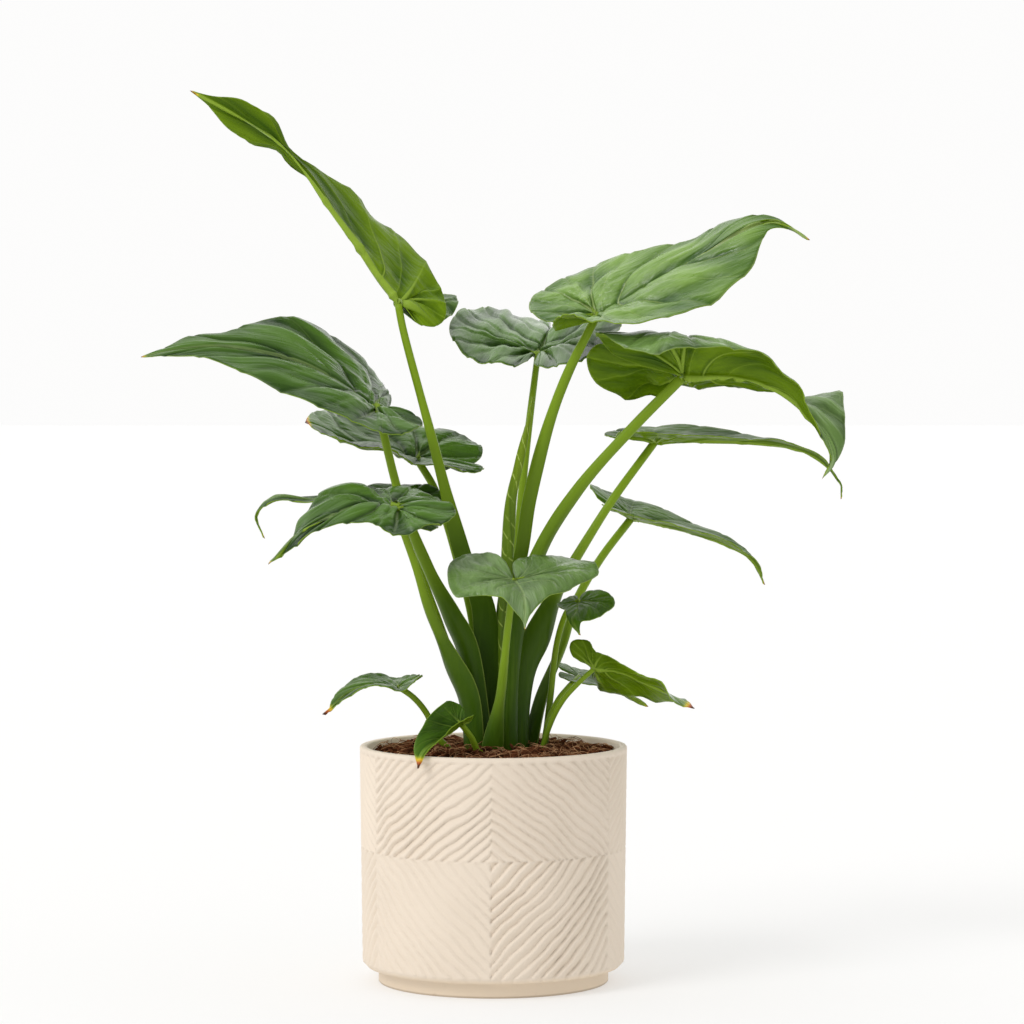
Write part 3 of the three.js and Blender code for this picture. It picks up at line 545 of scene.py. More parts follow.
# %% Leaves on the left
add_leaf(
    "tall_left", skin="fresh", quilt=1.6, wave=1.2, waves=5,
    rib=[(-89, 5, 634), (-134, 16, 695), (-185, 24, 768), (-223, 22, 799), (-283, 10, 832)],
    face=[(0.19, 0.96, 0.19), (0.05, 1, 0.05), (0.05, 1, 0.05), (-0.1, 0.95, 0.25)],
    left=half(
        lobe=38, wide=(46, 46, 47, 49, 52, 64, 74, 80, 62, 20, 66, 92, 60),
        fold=(40, 41, 43, 47, 54, 61, 65, 69, 76, 70, 40, 8, 20),
    ),
    right=half(
        lobe=34, wide=(84, 84, 82, 76, 70, 64, 60, 54, 38, 24, 60, 82, 60),
        fold=(118, 117, 115, 108, 96, 86, 84, 85, 84, 52, 24, 10, 20),
    ),
    stalk=tube(
        path=[
            (-2, 5, 211), (-8, 6, 327), (-15, 8, 364), (-31, 9, 403), (-57, 9, 506), (-82, 6, 600),
        ],
        wide=(18, 20, 25, 17, 10, 7.5, 7), hug=(4, 5, 3, 0, 0), out=(-0.3, 1, 0),
    ),
)
add_leaf(
    "big_left", pucker=1.5, quilt=2, wave=2.5, waves=6, phase=1,
    rib=[(-109, -12, 537), (-144, -20, 563), (-193, -32, 585), (-255, -44, 592), (-323, -56, 583)],
    face=[(-0.05, -0.3, 0.95), (0, -0.62, 0.79), (0, -0.62, 0.79)],
    left=half(
        lobe=44, nod=-32, wide=(64, 64), fold=(4, 2, 4, 2, 0, 2, 10), curl=(-10, -10, -10, 0),
    ),
    right=half(lobe=18, wide=(56, 66, 76, 84, 82, 76, 70, 46, 70, 60), fold=(0, 0, 2, 10)),
    stalk=tube(
        path=[
            (-10, -11, 212), (-24, -12, 304), (-40, -13, 343), (-61, -13, 386), (-87, -12, 454),
            (-104, -12, 521),
        ],
        wide=(16, 20, 24, 12, 8, 7.5), hug=(4, 5, 3, 0, 0), out=(-0.5, -0.9, 0),
    ),
)
add_leaf(
    "middle_left", tip=5, quilt=1.6, wave=1.4, waves=5, phase=2,
    rib=[(-73, 80, 486), (-103, 74, 496), (-141, 62, 505), (-179, 50, 520)],
    face=[(0, -0.26, 0.95), (0, -0.32, 0.93)],
    left=half(
        lobe=62, nod=-17, wide=(52, 52, 52, 52, 56, 60, 68, 95, 190, 600), fold=(2, 10, 16, 14),
    ),
    right=half(
        lobe=62, nod=-9, wide=(58, 58, 58, 58, 60, 64, 72, 100, 190, 600), fold=(22, 20, 16, 14),
    ),
    stalk=tube(
        path=[(-4, 28, 211), (-18, 40, 326), (-37, 56, 401), (-55, 70, 455)],
        wide=(12, 12, 11, 9, 8, 7), deep=(8, 8, 8, 8, 7), hug=(3, 3, 1, 0), out=(-0.3, 1, 0),
    ),
)
add_leaf(
    "low_left", crease=2.4, quilt=1.6, wave=2, waves=6, phase=0.5,
    rib=[
        (-90, -76, 447), (-116, -88, 451), (-143, -100, 443), (-169, -108, 427), (-203, -112, 396),
    ],
    face=[(0, -0.26, 0.97), (0, -0.26, 0.97), (-0.3, -0.3, 0.9)],
    left=half(
        lobe=54, nod=-13, wide=(40, 42, 44, 46, 42, 32, 25, 24, 26, 30), fold=(-6, -12, -10, 0),
        curl=(-10, -10, -10, 0),
    ),
    right=half(lobe=58, nod=-8, wide=(58, 58, 58, 58, 58, 56, 50, 40, 32, 30), fold=(-4, 2, 4, 0)),
    stalk=tube(
        path=[(-19, -20, 211), (-24, -24, 265), (-40, -31, 304), (-59, -43, 349), (-73, -56, 396)],
        wide=(14, 24, 26, 12, 7, 6.5), deep=(7, 7), hug=(3, 3, 1, 0), out=(-0.6, -0.8, 0),
    ),
)
add_leaf(
    "low_left_back", quilt=1, wave=2, waves=5, phase=1.5,
    rib=[
        (-90, 35, 445), (-136, 48, 452), (-174, 56, 449), (-208, 60, 449), (-225, 62, 433),
        (-218, 62, 411),
    ],
    face=[(0, -0.16, 1), (0, -0.05, 1), (-0.7, -0.1, 0.6)],
    left=half(lobe=48, nod=16, wide=(42, 42, 42, 40, 34, 26, 16, 16, 24, 40), fold=(0, 5, 5, 5)),
    right=half(lobe=44, nod=4, wide=(44, 44, 44, 42, 34, 24, 10, 6, 10, 20), fold=(18, 18, 12, 5)),
    stalk=tube(
        path=[(-16, 14, 212), (-36, 18, 290), (-52, 22, 337), (-69, 27, 383), (-79, 32, 421)],
        wide=(8, 8, 7, 6.5, 6), deep=(8, 8, 7, 7, 6.5), hug=(1, 0), out=(-1, 0.3, 0),
    ),
)

# %% Leaves on the right and at the back
add_leaf(
    "top_right", skin="fresh", quilt=2, wave=2, waves=5,
    rib=[(96, -15, 622), (138, -20, 648), (191, -22, 680), (254, -22, 708), (293, -22, 692)],
    face=[(-0.45, -0.42, 0.77), (-0.37, -0.67, 0.63), (-0.2, -0.6, 0.8)],
    left=half(
        lobe=55, nod=-20, wide=(74, 74, 74, 74, 68, 60, 52, 66, 40, 6), fold=(12, 12, -15, 0),
    ),
    right=half(
        lobe=38, nod=-10, wide=(66, 70, 76, 78, 80, 84, 92, 100, 40, 6),
        fold=(38, 38, 34, 22, 8, 4, 0, -8, -10, 0),
    ),
    stalk=tube(
        path=[
            (8, 18, 213), (9, 16, 347), (25, 8, 396), (34, -1, 452), (50, -9, 516), (69, -12, 568),
        ],
        wide=(14, 14, 12, 13, 13, 9.5, 8), hug=(3, 3, 3, 0, 0), out=(0, 1, 0),
    ),
)
add_leaf(
    "centre_back", crease=2.2, pucker=1.0, quilt=2, wave=1.2, waves=5, phase=2,
    rib=[(42, 78, 587), (51, 118, 603), (57, 165, 613), (60, 212, 610), (63, 245, 594)],
    face=[(0, -0.19, 0.97), (0, 0, 1), (0, 0.4, 0.9)],
    left=half(lobe=60, nod=-5, wide=(88, 88), fold=(13, 18, 18, 10)),
    right=half(lobe=60, nod=-5, wide=(84, 84), fold=(15, 20, 20, 10)),
    stalk=tube(
        path=[(14, 29, 211), (19, 34, 317), (24, 42, 421), (32, 55, 506)],
        wide=(12, 11, 9, 8, 7, 6), hug=(3, 2, 0, 0), out=(0.2, 1, 0),
    ),
)
add_leaf(
    "big_right", skin="pale", quilt=1.8, wave=0.8, waves=5,
    rib=[
        (175, -30, 565), (223, -35, 564), (263, -42, 552), (293, -50, 523), (310, -52, 492),
        (303, -52, 471),
    ],
    face=[(0, 0, 1), (0, 0, 1), (0.8, 0, 0.6), (0.8, -0.4, 0.2)],
    left=half(
        lobe=100, nod=-26, wide=(76, 76, 76, 76, 76, 76, 84, 124, 104, 20),
        fold=(-70, -48, -26, -8, -8, -8, 6, 50, 60, 20),
    ),
    right=half(
        lobe=80, nod=-8, wide=(88, 96, 105, 95, 78, 64, 42, 30, 30, 20),
        fold=(85, 85, 85, 85, 85, 82, 70, 30, 0, 0),
        curl=(-150, -155, -150, -130, -122, -115, -90, -40, 0, 0),
    ),
    stalk=tube(
        path=[(16, -20, 212), (20, -20, 321), (42, -17, 399), (79, -21, 461), (127, -26, 516)],
        wide=(14, 14, 18, 13, 10, 9.5), hug=(2, 2, 3, 0, 0), out=(0.3, -1, 0),
    ),
)
add_leaf(
    "long_right", skin="satin", crease=1.0, quilt=1, wave=0.8, waves=5, phase=1,
    rib=[
        (152, 46, 503), (195, 54, 505), (251, 58, 502), (296, 58, 493), (327, 58, 468),
        (331, 58, 449),
    ],
    face=[(0, 0.05, 1), (0, 0.05, 1), (0.7, 0, 0.7)],
    left=half(lobe=42, nod=-8, wide=(58, 58, 58, 58, 56, 50, 8), fold=(12, 14, 14, 12)),
    right=half(lobe=42, nod=-8, wide=(56, 56, 56, 56, 54, 48, 8), fold=(8, 4, 4, 4)),
    stalk=tube(
        path=[
            (24, -2, 212), (28, 2, 286), (43, 5, 324), (59, 8, 361), (81, 12, 401), (112, 22, 450),
        ],
        wide=(16, 22, 29, 10, 8, 7.5), hug=(4, 5, 3, 0, 0), out=(0.4, -1, 0),
    ),
)
add_leaf(
    "lower_right", skin="satin", crease=0.9, quilt=1, wave=1, waves=5,
    rib=[
        (131, 86, 429), (163, 93, 422), (201, 98, 411), (239, 100, 395), (254, 100, 379),
        (260, 100, 365),
    ],
    face=[(0.3, -0.03, 0.95), (0.3, -0.03, 0.95), (0.3, -0.03, 0.95), (0.8, 0, 0.6)],
    left=half(lobe=44, nod=-18, wide=(46, 46), fold=(16, 16)),
    right=half(lobe=36, nod=-14, wide=(46, 46), fold=(8, 8)),
    stalk=tube(
        path=[(36, 20, 211), (46, 27, 261), (66, 40, 312), (78, 52, 351), (102, 68, 392)],
        wide=(16, 17, 9, 7.5, 7), hug=(3, 3, 1, 0), out=(0.7, 0.7, 0),
    ),
)

# %% Front leaf and small leaves
add_leaf(
    "front", skin="pale", crease=0.5, pucker=2.6, quilt=1.8, wave=2, waves=6,
    rib=[(20, -75, 380), (27, -98, 371), (29, -122, 362), (29, -142, 350), (29, -150, 339)],
    face=[(0, -0.48, 0.88), (0, -0.48, 0.88), (0, -0.9, 0.4)],
    left=half(
        lobe=40, nod=-4, wide=(78, 78, 78, 78, 78, 52, 32, 27, 24, 20), fold=(0, 6, 6, 5),
        curl=(-10, -10, -10, 0),
    ),
    right=half(
        lobe=50, nod=-12, wide=(62, 62, 62, 62, 62, 38, 28, 26, 24, 20), fold=(10, 14, 8, 5),
        curl=(-24, -24, -20, 0),
    ),
    stalk=tube(
        path=[(-2, -31, 210), (7, -40, 272), (10, -48, 300), (15, -66, 348)],
        wide=(22, 20, 9, 7, 6.5), deep=(8, 8, 8, 7), hug=(3, 1, 0), out=(0, -1, 0),
    ),
)
add_leaf(
    "small_middle", skin="satin", crease=0.5, quilt=0.8, wave=0.4, waves=4,
    rib=[(79, -22, 357), (77, -42, 350), (73, -60, 341), (80, -66, 328)],
    face=[(0, -0.1, 0.99), (0, -0.8, 0.5)],
    left=half(lobe=20, wide=(34, 34, 30, 30), fold=(0, 0)),
    right=half(lobe=16, wide=(20, 20, 12, 12), fold=(-6, -6, -6, 0)),
    stalk=tube(
        path=[(47, 10, 211), (53, 17, 260), (59, 10, 313), (68, -8, 345)],
        wide=(7, 6, 5.5), deep=(7, 6, 5.5), hug=(0, 0), out=(1, 0, 0),
    ),
)
add_leaf(
    "small_right", skin="fresh", crease=0.8, tip=12, quilt=1, wave=1, waves=4,
    rib=[(94, -28, 295), (122, -36, 291), (150, -43, 278), (173, -48, 267), (186, -50, 260)],
    face=[(0.41, 0.47, 0.77), (0.41, 0.47, 0.77), (0.45, -0.5, 0.7)],
    left=half(lobe=15, nod=-50, wide=(30, 36, 42, 42, 42, 84, 90), fold=(0, 0)),
    right=half(lobe=28, nod=-14, wide=(26, 24, 16, 16, 24, 70, 90), fold=(45, 45, 20, 0, 0, 0, 0)),
    stalk=tube(
        path=[(44, -15, 211), (53, -18, 242), (65, -22, 265), (81, -26, 283)],
        wide=(6, 5, 4.5, 4.5), deep=(6, 5, 4.5), hug=(0, 0), out=(1, 0, 0),
    ),
)
add_leaf(
    "small_right_back", skin="satin", crease=0.5, quilt=0.8, wave=1, waves=4,
    rib=[(81, 50, 281), (105, 55, 275), (129, 60, 262), (147, 63, 251)],
    face=[(0.25, -0.12, 0.96), (0.25, -0.12, 0.96)],
    left=half(lobe=22, nod=-8, wide=(24, 24), fold=(0, 0)),
    right=half(lobe=22, wide=(24, 24), fold=(0, 0)),
    stalk=tube(
        path=[(46, -1, 211), (50, 1, 239), (59, 8, 260), (70, 24, 273)],
        wide=(5.5, 5, 4.5), deep=(5.5, 5, 4.5), hug=(0, 0), out=(1, 0, 0),
    ),
)
add_leaf(
    "small_left", skin="satin", crease=0.9, tip=14, quilt=0.8, wave=1, waves=4,
    rib=[(-88, -20, 277), (-113, -24, 281), (-138, -28, 270), (-158, -30, 252)],
    face=[(0, -0.18, 0.98), (0, -0.2, 0.98), (-0.4, -0.3, 0.85)],
    left=half(lobe=24, nod=-40, wide=(26, 26), fold=(4, 4)),
    right=half(lobe=22, nod=-30, wide=(30, 30), fold=(4, 4)),
    stalk=tube(
        path=[(-38, -14, 211), (-52, -16, 230), (-62, -18, 252), (-74, -20, 267)],
        wide=(7, 6, 5.5), deep=(7, 6, 5.5), hug=(0, 0), out=(-1, 0, 0),
    ),
)
add_leaf(
    "small_front", skin="satin", crease=0.5, tip=15, quilt=0.6, wave=1, waves=4,
    rib=[
        (-29, -62, 246), (-40, -76, 239), (-50, -90, 234), (-60, -104, 229), (-65, -114, 223),
        (-68, -123, 212),
    ],
    face=[(-0.2, -0.1, 0.95), (-0.3, -0.2, 0.9), (-0.6, -0.3, 0.6)],
    left=half(lobe=12, wide=(13, 13), fold=(30, 30)),
    right=half(lobe=14, nod=-20, wide=(22, 25, 28, 32), fold=(55, 60, 62, 50), curl=(20, 20)),
    stalk=tube(
        path=[(-9, -40, 210), (-15, -47, 221), (-20, -54, 233)],
        wide=(7, 6, 5.5), deep=(7, 6, 5.5), hug=(0, 0), out=(0, -1, 0),
    ),
)
print("leaves:", *LEAVES)

# %% [markdown]
# The flat heart
#
# A real blade grows from one point: all its veins leave the midrib and run to the margin in
# curves. A heart cut from a square grid would have veins that cross its faces. So one side of the
# grid is the midrib, the other the margin, and every row between them is a vein.

# %% One half of the heart
# Each point of the margin is along, across, and the place on the midrib that its vein leaves.
HALF_HEART = [
    Vector(point)
    for point in [
        (-0.48, 0.04, 0), (-0.84, 0.13, 0), (-1.00, 0.37, 0), (-0.93, 0.65, 0), (-0.63, 0.87, 0),
        (-0.22, 0.98, 0), (0.08, 1.00, 0), (0.25, 0.93, 0.03), (0.43, 0.77, 0.10),
        (0.61, 0.53, 0.22), (0.78, 0.27, 0.41), (0.91, 0.08, 0.66), (1.00, 0.00, 1),
    ]
]
VEINS = 6
VEIN_BEND = 1.6


def heart_place(out, down):
    margin = curve_point(HALF_HEART, down)
    along = margin.z + (margin.x - margin.z) * out**VEIN_BEND
    return along, max(margin.y, 0) * out


print("half way out, half way down:", [round(value, 3) for value in heart_place(0.5, 0.5)])


# %% From the flat heart to the leaf in space
def half_of(leaf, side):
    return leaf["right"] if side > 0 else leaf["left"]


def midrib_frame(leaf, place):
    spot, way = leaf["curve"].at(place)
    facing = between(leaf["facing"], place)
    normal = (facing - way * facing.dot(way)).normalized()
    return spot, way, normal, way.cross(normal)


def blade_point(leaf, side, along, across):
    spot, way, normal, right = midrib_frame(leaf, along)
    side_half = half_of(leaf, side)
    place = (1 + along if along < 0 else 1 + 2 * along) / 3
    wide = between(side_half["wide"], place) * MM
    fold = math.radians(between(side_half["fold"], place))
    curl = math.radians(between(side_half["curl"], place))
    outward, upward = across * math.cos(fold), across * math.sin(fold)
    if abs(curl) > 0.01:
        turn = fold + curl * across
        outward = (math.sin(turn) - math.sin(fold)) / curl
        upward = (math.cos(fold) - math.cos(turn)) / curl
    if along < 0:
        nod = math.radians(side_half["nod"])
        lobe = along * side_half["lobe"] * MM
        spot = spot + (way * math.cos(nod) + normal * math.sin(nod)) * lobe
    return spot + (right * side * outward + normal * upward) * wide, normal


# %% [markdown]
# Veins and quilting
#
# Seen close, the blade sinks along the midrib and the side veins, and puffs up between them, with
# finer pillows between the small veins. Near the joint of the oldest blades it is puckered. A
# bump map would show none of it against the light, so the points themselves are lifted. How high
# each one is, and how many millimetres it is from its vein, is also stored on the mesh, so that
# the material can draw the veins exactly where the surface dips.

# %% Distances on a blade, in millimetres
def rib_distance(leaf, side, along, across):
    return across * between(half_of(leaf, side)["wide"], (1 + 2 * along) / 3)


def flat_spot(leaf, side, out, down):
    along, across = heart_place(out, down)
    reach = leaf["curve"].length / MM if along > 0 else half_of(leaf, side)["lobe"]
    return Vector((rib_distance(leaf, side, along, across), along * reach))


def vein_gap(leaf, side, out, down):
    step = 0.25 / VEINS
    ahead = flat_spot(leaf, side, out, min(down + step, 1))
    behind = flat_spot(leaf, side, out, max(down - step, 0))
    return (ahead - behind).length * 2


# %% Relief of a blade, in millimetres
PILLOW_HEIGHT = 2.6
VEIN_DEPTH = 1.7
RIB_DEPTH = 1.3
SMALL_VEIN_DEPTH = 0.7
FINE_HEIGHT = 0.6
SWAY_HEIGHT = 5
SWAY_PITCH = 38
PUCKER_PLACE = 24


def dent(distance, width):
    return math.exp(-((distance / width) ** 2))


def blade_relief(leaf, side, out, down, gap, rib):
    row = down * VEINS
    vein = min(max(round(row), 1), VEINS - 1)
    sunk = dent(abs(row - vein) * gap, 1.5) * min(gap / 7, 1) * (1 - 0.5 * out)
    sunk = max(sunk, RIB_DEPTH * dent(rib, 2.4) * (1 - down**4))
    half_row = abs(row - math.floor(row) - 0.5) * gap
    small = SMALL_VEIN_DEPTH * dent(half_row, 1.8) * min(gap / 14, 1)
    seed = leaf["seed"] + side * 7
    pillows = noise.noise(Vector((rib / 16, row * 1.2, seed))) * min(gap / 9, 1)
    fine = noise.noise(Vector((rib / 5.5, row * 2.4, seed + 3))) * min(gap / 12, 1)
    pucker = leaf["pucker"] * dent(rib - PUCKER_PLACE, 13) * max(1 - 1.6 * down, 0)
    cell = noise.noise(Vector((rib / 5, row * 2.6, seed + 9)))
    creases = leaf["crease"] * (PILLOW_HEIGHT * pillows - VEIN_DEPTH * sunk - small)
    return creases + FINE_HEIGHT * fine + pucker * cell


def blade_sway(leaf, side, out, down):
    spot = flat_spot(leaf, side, out, down) * side
    place = Vector((spot.x / SWAY_PITCH, spot.y / SWAY_PITCH, leaf["seed"]))
    return SWAY_HEIGHT * out * noise.noise(place)


# %% Blade mesh
MARKS = ("vein_row", "vein_gap", "rib_mm", "margin", "dry", "relief")
CROWDING = 1.3


def blade_mesh(leaf, columns, rows):
    bm = bmesh.new()
    marks = [bm.verts.layers.float.new(name) for name in MARKS]
    lift = {}
    for side in (1, -1):
        grid = bmesh.ops.create_grid(bm, x_segments=columns, y_segments=rows, size=0.5)
        for vert in grid["verts"]:
            out, down = (vert.co.x + 0.5) ** CROWDING, vert.co.y + 0.5
            along, across = heart_place(out, down)
            spot, normal = blade_point(leaf, side, along, across)
            hump = abs(math.sin(math.pi * VEINS * down))
            puff = 0.35 * hump**2 + 0.65 * hump
            ruffle = math.sin(math.pi * leaf["waves"] * down + leaf["phase"] + side) * out * out
            rise = leaf["crease"] * leaf["quilt"] * puff * math.sin(math.pi * out)
            vert.co = spot + normal * (rise + leaf["wave"] * ruffle * (1 - down))
            rib = rib_distance(leaf, side, along, across)
            gap = vein_gap(leaf, side, out, down)
            to_tip = (1 - along) * leaf["curve"].length / MM
            dry = 1 - min(to_tip / leaf["tip"], 1)
            relief = blade_relief(leaf, side, out, down, gap, rib)
            relief_for_painted_shading = relief + rise / MM
            for mark, value in zip(marks, (down * VEINS, gap, rib, out, dry, relief_for_painted_shading)):
                vert[mark] = value
            lift[vert] = (relief + blade_sway(leaf, side, out, down)) * MM
        if side < 0:
            faces = {face for vert in grid["verts"] for face in vert.link_faces}
            bmesh.ops.reverse_faces(bm, faces=list(faces))
    bmesh.ops.remove_doubles(bm, verts=bm.verts, dist=0.02 * MM)
    bm.normal_update()
    for vert, height in lift.items():
        if vert.is_valid:
            vert.co += vert.normal * height
    return bm


# %% Thickness of a blade, greatest at the joint, where its veins run together
JOINT_THICKNESS = 2.0 * MM
BLADE_THICKNESS = 0.8 * MM
THICK_GAP = 4.5


def thicken_blade(piece):
    gaps = [gap.value for gap in piece.data.attributes["vein_gap"].data]
    keel = piece.vertex_groups.new(name="keel")
    for i, gap in enumerate(gaps):
        keel.add([i], max(0.0, 1 - gap / THICK_GAP), "REPLACE")
    sheet = piece.modifiers.new("thickness", "SOLIDIFY")
    sheet.thickness = JOINT_THICKNESS
    sheet.offset = 0
    sheet.vertex_group = keel.name
    sheet.thickness_vertex_group = BLADE_THICKNESS / JOINT_THICKNESS
    sheet.material_offset = 1
    sheet.material_offset_rim = 1


# %% [markdown]
# The stalks
#
# A stalk is round and smooth under its blade. Lower down it opens into a sheath, a flat band with
# thin pale edges that hugs the younger stalks inside it. A curve object with a bevel keeps one
# section all along. A tube of points whose section changes gives both, and the height, the edge
# and the flatness are stored on the mesh to colour them.

# %% Stalk mesh
SHEATH_FLATNESS = 1.2
SHEATH_THINNING = 0.45
ROLL_TURNS = 1.4
EDGE_POWER = 24


def stalk_mesh(stalk, sides=28, steps=90, twist=0.0, top=1.0):
    bm = bmesh.new()
    names = ("grow", "edge", "flat", "turn")
    grow, edge, flat, turn_mark = [bm.verts.layers.float.new(name) for name in names]
    outward = Vector(stalk["out"])
    grid = bmesh.ops.create_grid(bm, x_segments=sides, y_segments=steps, size=0.5)
    for vert in grid["verts"]:
        place, turn = (vert.co.y + 0.5) * top, (vert.co.x + 0.5) * 2 * math.pi
        spot, way = stalk["curve"].at(place)
        out = (outward - way * outward.dot(way)).normalized()
        side = way.cross(out)
        wide = between(stalk["wide"], place) / 2
        deep = between(stalk["deep"], place) / 2
        sheath = min(max((wide / deep - 1) / SHEATH_FLATNESS, 0), 1)
        across, outer = math.sin(turn), math.cos(turn)
        hug = between(stalk["hug"], place) * across * across
        thin = 1 - SHEATH_THINNING * sheath * across * across
        roll = 1 + twist * ((turn / (2 * math.pi) + ROLL_TURNS * place) % 1 - 0.5)
        vert.co = spot + side * wide * across * roll * MM
        vert.co += out * (deep * outer * thin * roll - hug) * MM
        vert[grow] = place
        vert[edge] = sheath * abs(across) ** EDGE_POWER
        vert[flat] = sheath
        vert[turn_mark] = turn / (2 * math.pi)
    bmesh.ops.remove_doubles(bm, verts=bm.verts, dist=0.01 * MM)
    rims = [e for e in bm.edges if e.is_boundary]
    bmesh.ops.holes_fill(bm, edges=rims, sides=0)
    bmesh.ops.recalc_face_normals(bm, faces=bm.faces)
    return bm


# %% [markdown]
# Leaf finishes
#
# A blade is glossy and deep green above, and duller, yellower green below, and its underside green
# is brightened as painted light that shines through the blade. Young blades are fresher green, and
# the small ones have less gloss. Veins are pale, the margin is a thin pale line, and some tips have
# dried to yellow and brown. A picture of a leaf would have to be bent and stretched over sixteen
# blades, so each finish is drawn from what the mesh knows: two greens are mixed by soft clouds and
# by the relief, dark in the hollows as painted shade and light on the crests as painted light, a
# band along each vein is darkened as painted crease shade, and the veins follow their stored
# distances. The gloss varies, because a living blade is never even.

# %% Blade finish
def vein_mask(paint, width, half_rows):
    row, gap = paint.mark("vein_row"), paint.mark("vein_gap")
    if half_rows:
        row = paint.plus(row, 0.5)
    away = paint.times(paint.math("PINGPONG", row, 0.5), gap)
    ends = paint.fade(paint.math("PINGPONG", paint.mark("vein_row"), VEINS / 2), 0.3, 0.7)
    line = paint.fade(away, 0.3 * width, width, 1.0, 0.0)
    return paint.times(line, ends)


def blade_cells(paint):
    row = paint.times(paint.mark("vein_row"), 2.0)
    across = paint.times(paint.mark("rib_mm"), 0.13)
    weave = paint.add("ShaderNodeCombineXYZ", {"X": row, "Y": across}).outputs[0]
    drift = {0: paint.place, 1: (12, 12, 12), 2: weave}
    weave = paint.add("ShaderNodeVectorMath", drift, operation="MULTIPLY_ADD").outputs[0]
    cells = {"Vector": weave, "Scale": 1.6, "Detail": 2.0}
    return paint.add("ShaderNodeTexNoise", cells).outputs["Fac"]


def dry_tip(paint, green):
    edges = paint.times(paint.clouds(160, 2), 0.5)
    dry = paint.plus(paint.mark("dry"), paint.times(edges, paint.mark("dry")))
    tip = paint.ramp(dry, [
        (0.25, (0.36, 0.42, 0.02)), (0.5, (0.72, 0.50, 0.03)),
        (0.75, (0.50, 0.12, 0.015)), (1.0, (0.10, 0.035, 0.015)),
    ])
    return paint.mix(paint.fade(dry, 0.05, 0.4), green, tip)


def blade_finish(name, deep, fresh, vein, rough, lines, shine, hollow=-2.0, crest=3.0):
    paint = Paint(name)
    clouds = paint.fade(paint.clouds(16, 2), 0.3, 0.7, 0.0, 0.3)
    # Painted shade and light: the stored relief darkens the green in hollows and lightens it on
    # crests, and the bump's cells tint it faintly the same way.
    relief_for_painted_shading = paint.fade(paint.mark("relief"), hollow, crest, 0.0, 0.65)
    cells = blade_cells(paint)
    painted_relief_shading = paint.plus(relief_for_painted_shading, paint.fade(cells, 0.35, 0.65, -0.05, 0.1))
    green = paint.mix(paint.plus(clouds, painted_relief_shading), deep, fresh)
    out = paint.mark("margin")
    # Painted crease shade: a band along each vein, where the surface sinks, is darkened, most near
    # the midrib.
    painted_vein_shade = paint.times(vein_mask(paint, 3.6, False), paint.fade(out, 0.0, 0.9, 0.5, 0))
    green = paint.mix(painted_vein_shade, green, deep)
    main = paint.times(vein_mask(paint, 1.2, False), paint.fade(out, 0.2, 1.0, 1, 0.25))
    small = paint.times(vein_mask(paint, 0.8, True), 0.35)
    rib = paint.fade(paint.mark("rib_mm"), 0.7, 1.9, 1.0, 0.0)
    drawn = paint.math("MAXIMUM", paint.math("MAXIMUM", main, small), rib)
    green = paint.mix(paint.times(drawn, lines), green, vein)
    green = paint.mix(paint.fade(out, 0.984, 0.998, 0, 0.5), green, vein)
    green = dry_tip(paint, green)
    skin = paint.times(paint.clouds(1500, 2), 0.03)
    paint.bump(paint.plus(cells, skin), 2.2 * MM, 0.7)
    dull = paint.fade(paint.clouds(45, 3), 0.3, 0.7, rough - 0.05, rough + 0.08)
    return paint.wear(Base_Color=green, Roughness=dull, Specular_IOR_Level=shine)


# %% Blade colours
SKINS = {
    "deep": blade_finish(
        "blade deep green", (0.010, 0.038, 0.003, 1), (0.092, 0.200, 0.022, 1),
        (0.21, 0.31, 0.09, 1), rough=0.30, lines=0.6, shine=0.5,
    ),
    "pale": blade_finish(
        "blade pale green", (0.045, 0.098, 0.014, 1), (0.205, 0.350, 0.085, 1),
        (0.30, 0.42, 0.15, 1), rough=0.36, lines=0.5, shine=0.6,
    ),
    "satin": blade_finish(
        "blade satin green", (0.020, 0.062, 0.002, 1), (0.105, 0.230, 0.008, 1),
        (0.26, 0.40, 0.05, 1), rough=0.38, lines=0.4, shine=0.25,
    ),
    "fresh": blade_finish(
        "blade fresh green", (0.030, 0.095, 0.005, 1), (0.200, 0.350, 0.055, 1),
        (0.36, 0.48, 0.13, 1), rough=0.30, lines=0.7, shine=0.6, crest=3.5,
    ),
    # The underside's own duller, yellower green, brightened as painted light shining through the
    # blade; hollow and crest are swapped, so painted shade falls where the upper side puffs up.
    "under": blade_finish(
        "blade underside", (0.028, 0.078, 0.001, 1), (0.160, 0.270, 0.004, 1),
        (0.30, 0.44, 0.05, 1), rough=0.36, lines=0.7, shine=0.12, hollow=4.5, crest=-1.6,
    ),
}
print("blade finishes:", *SKINS)


# %% Stalk finish
def stalk_material(name, low, high, pale):
    paint = Paint(name)
    grow = paint.mark("grow")
    streaks = paint.clouds(260, 3, (1.0, 1.0, 0.06))
    rise = paint.plus(grow, paint.times(paint.clouds(30, 2), 0.16))
    # Darker low down and on the flat sheaths: partly the sheaths' own darker green, partly painted
    # shade among the crowded stalks.
    green = paint.mix(paint.fade(rise, 0.22, 0.8), low, high)
    green = paint.mix(paint.fade(streaks, 0.42, 0.72, 0, 0.3), green, high)
    green = paint.mix(paint.times(paint.mark("flat"), 0.72), green, low)
    green = paint.mix(paint.fade(paint.mark("edge"), 0.25, 0.8, 0.0, 0.6), green, pale)
    paint.bump(streaks, 0.25 * MM, 0.5)
    paint.wear(Specular_IOR_Level=0.14)
    return paint.wear(Base_Color=green, Roughness=paint.fade(streaks, 0.3, 0.7, 0.34, 0.46))


stalk_finish = stalk_material(
    "leaf stalk", (0.030, 0.080, 0.001, 1), (0.205, 0.325, 0.014, 1), (0.32, 0.42, 0.08, 1),
)

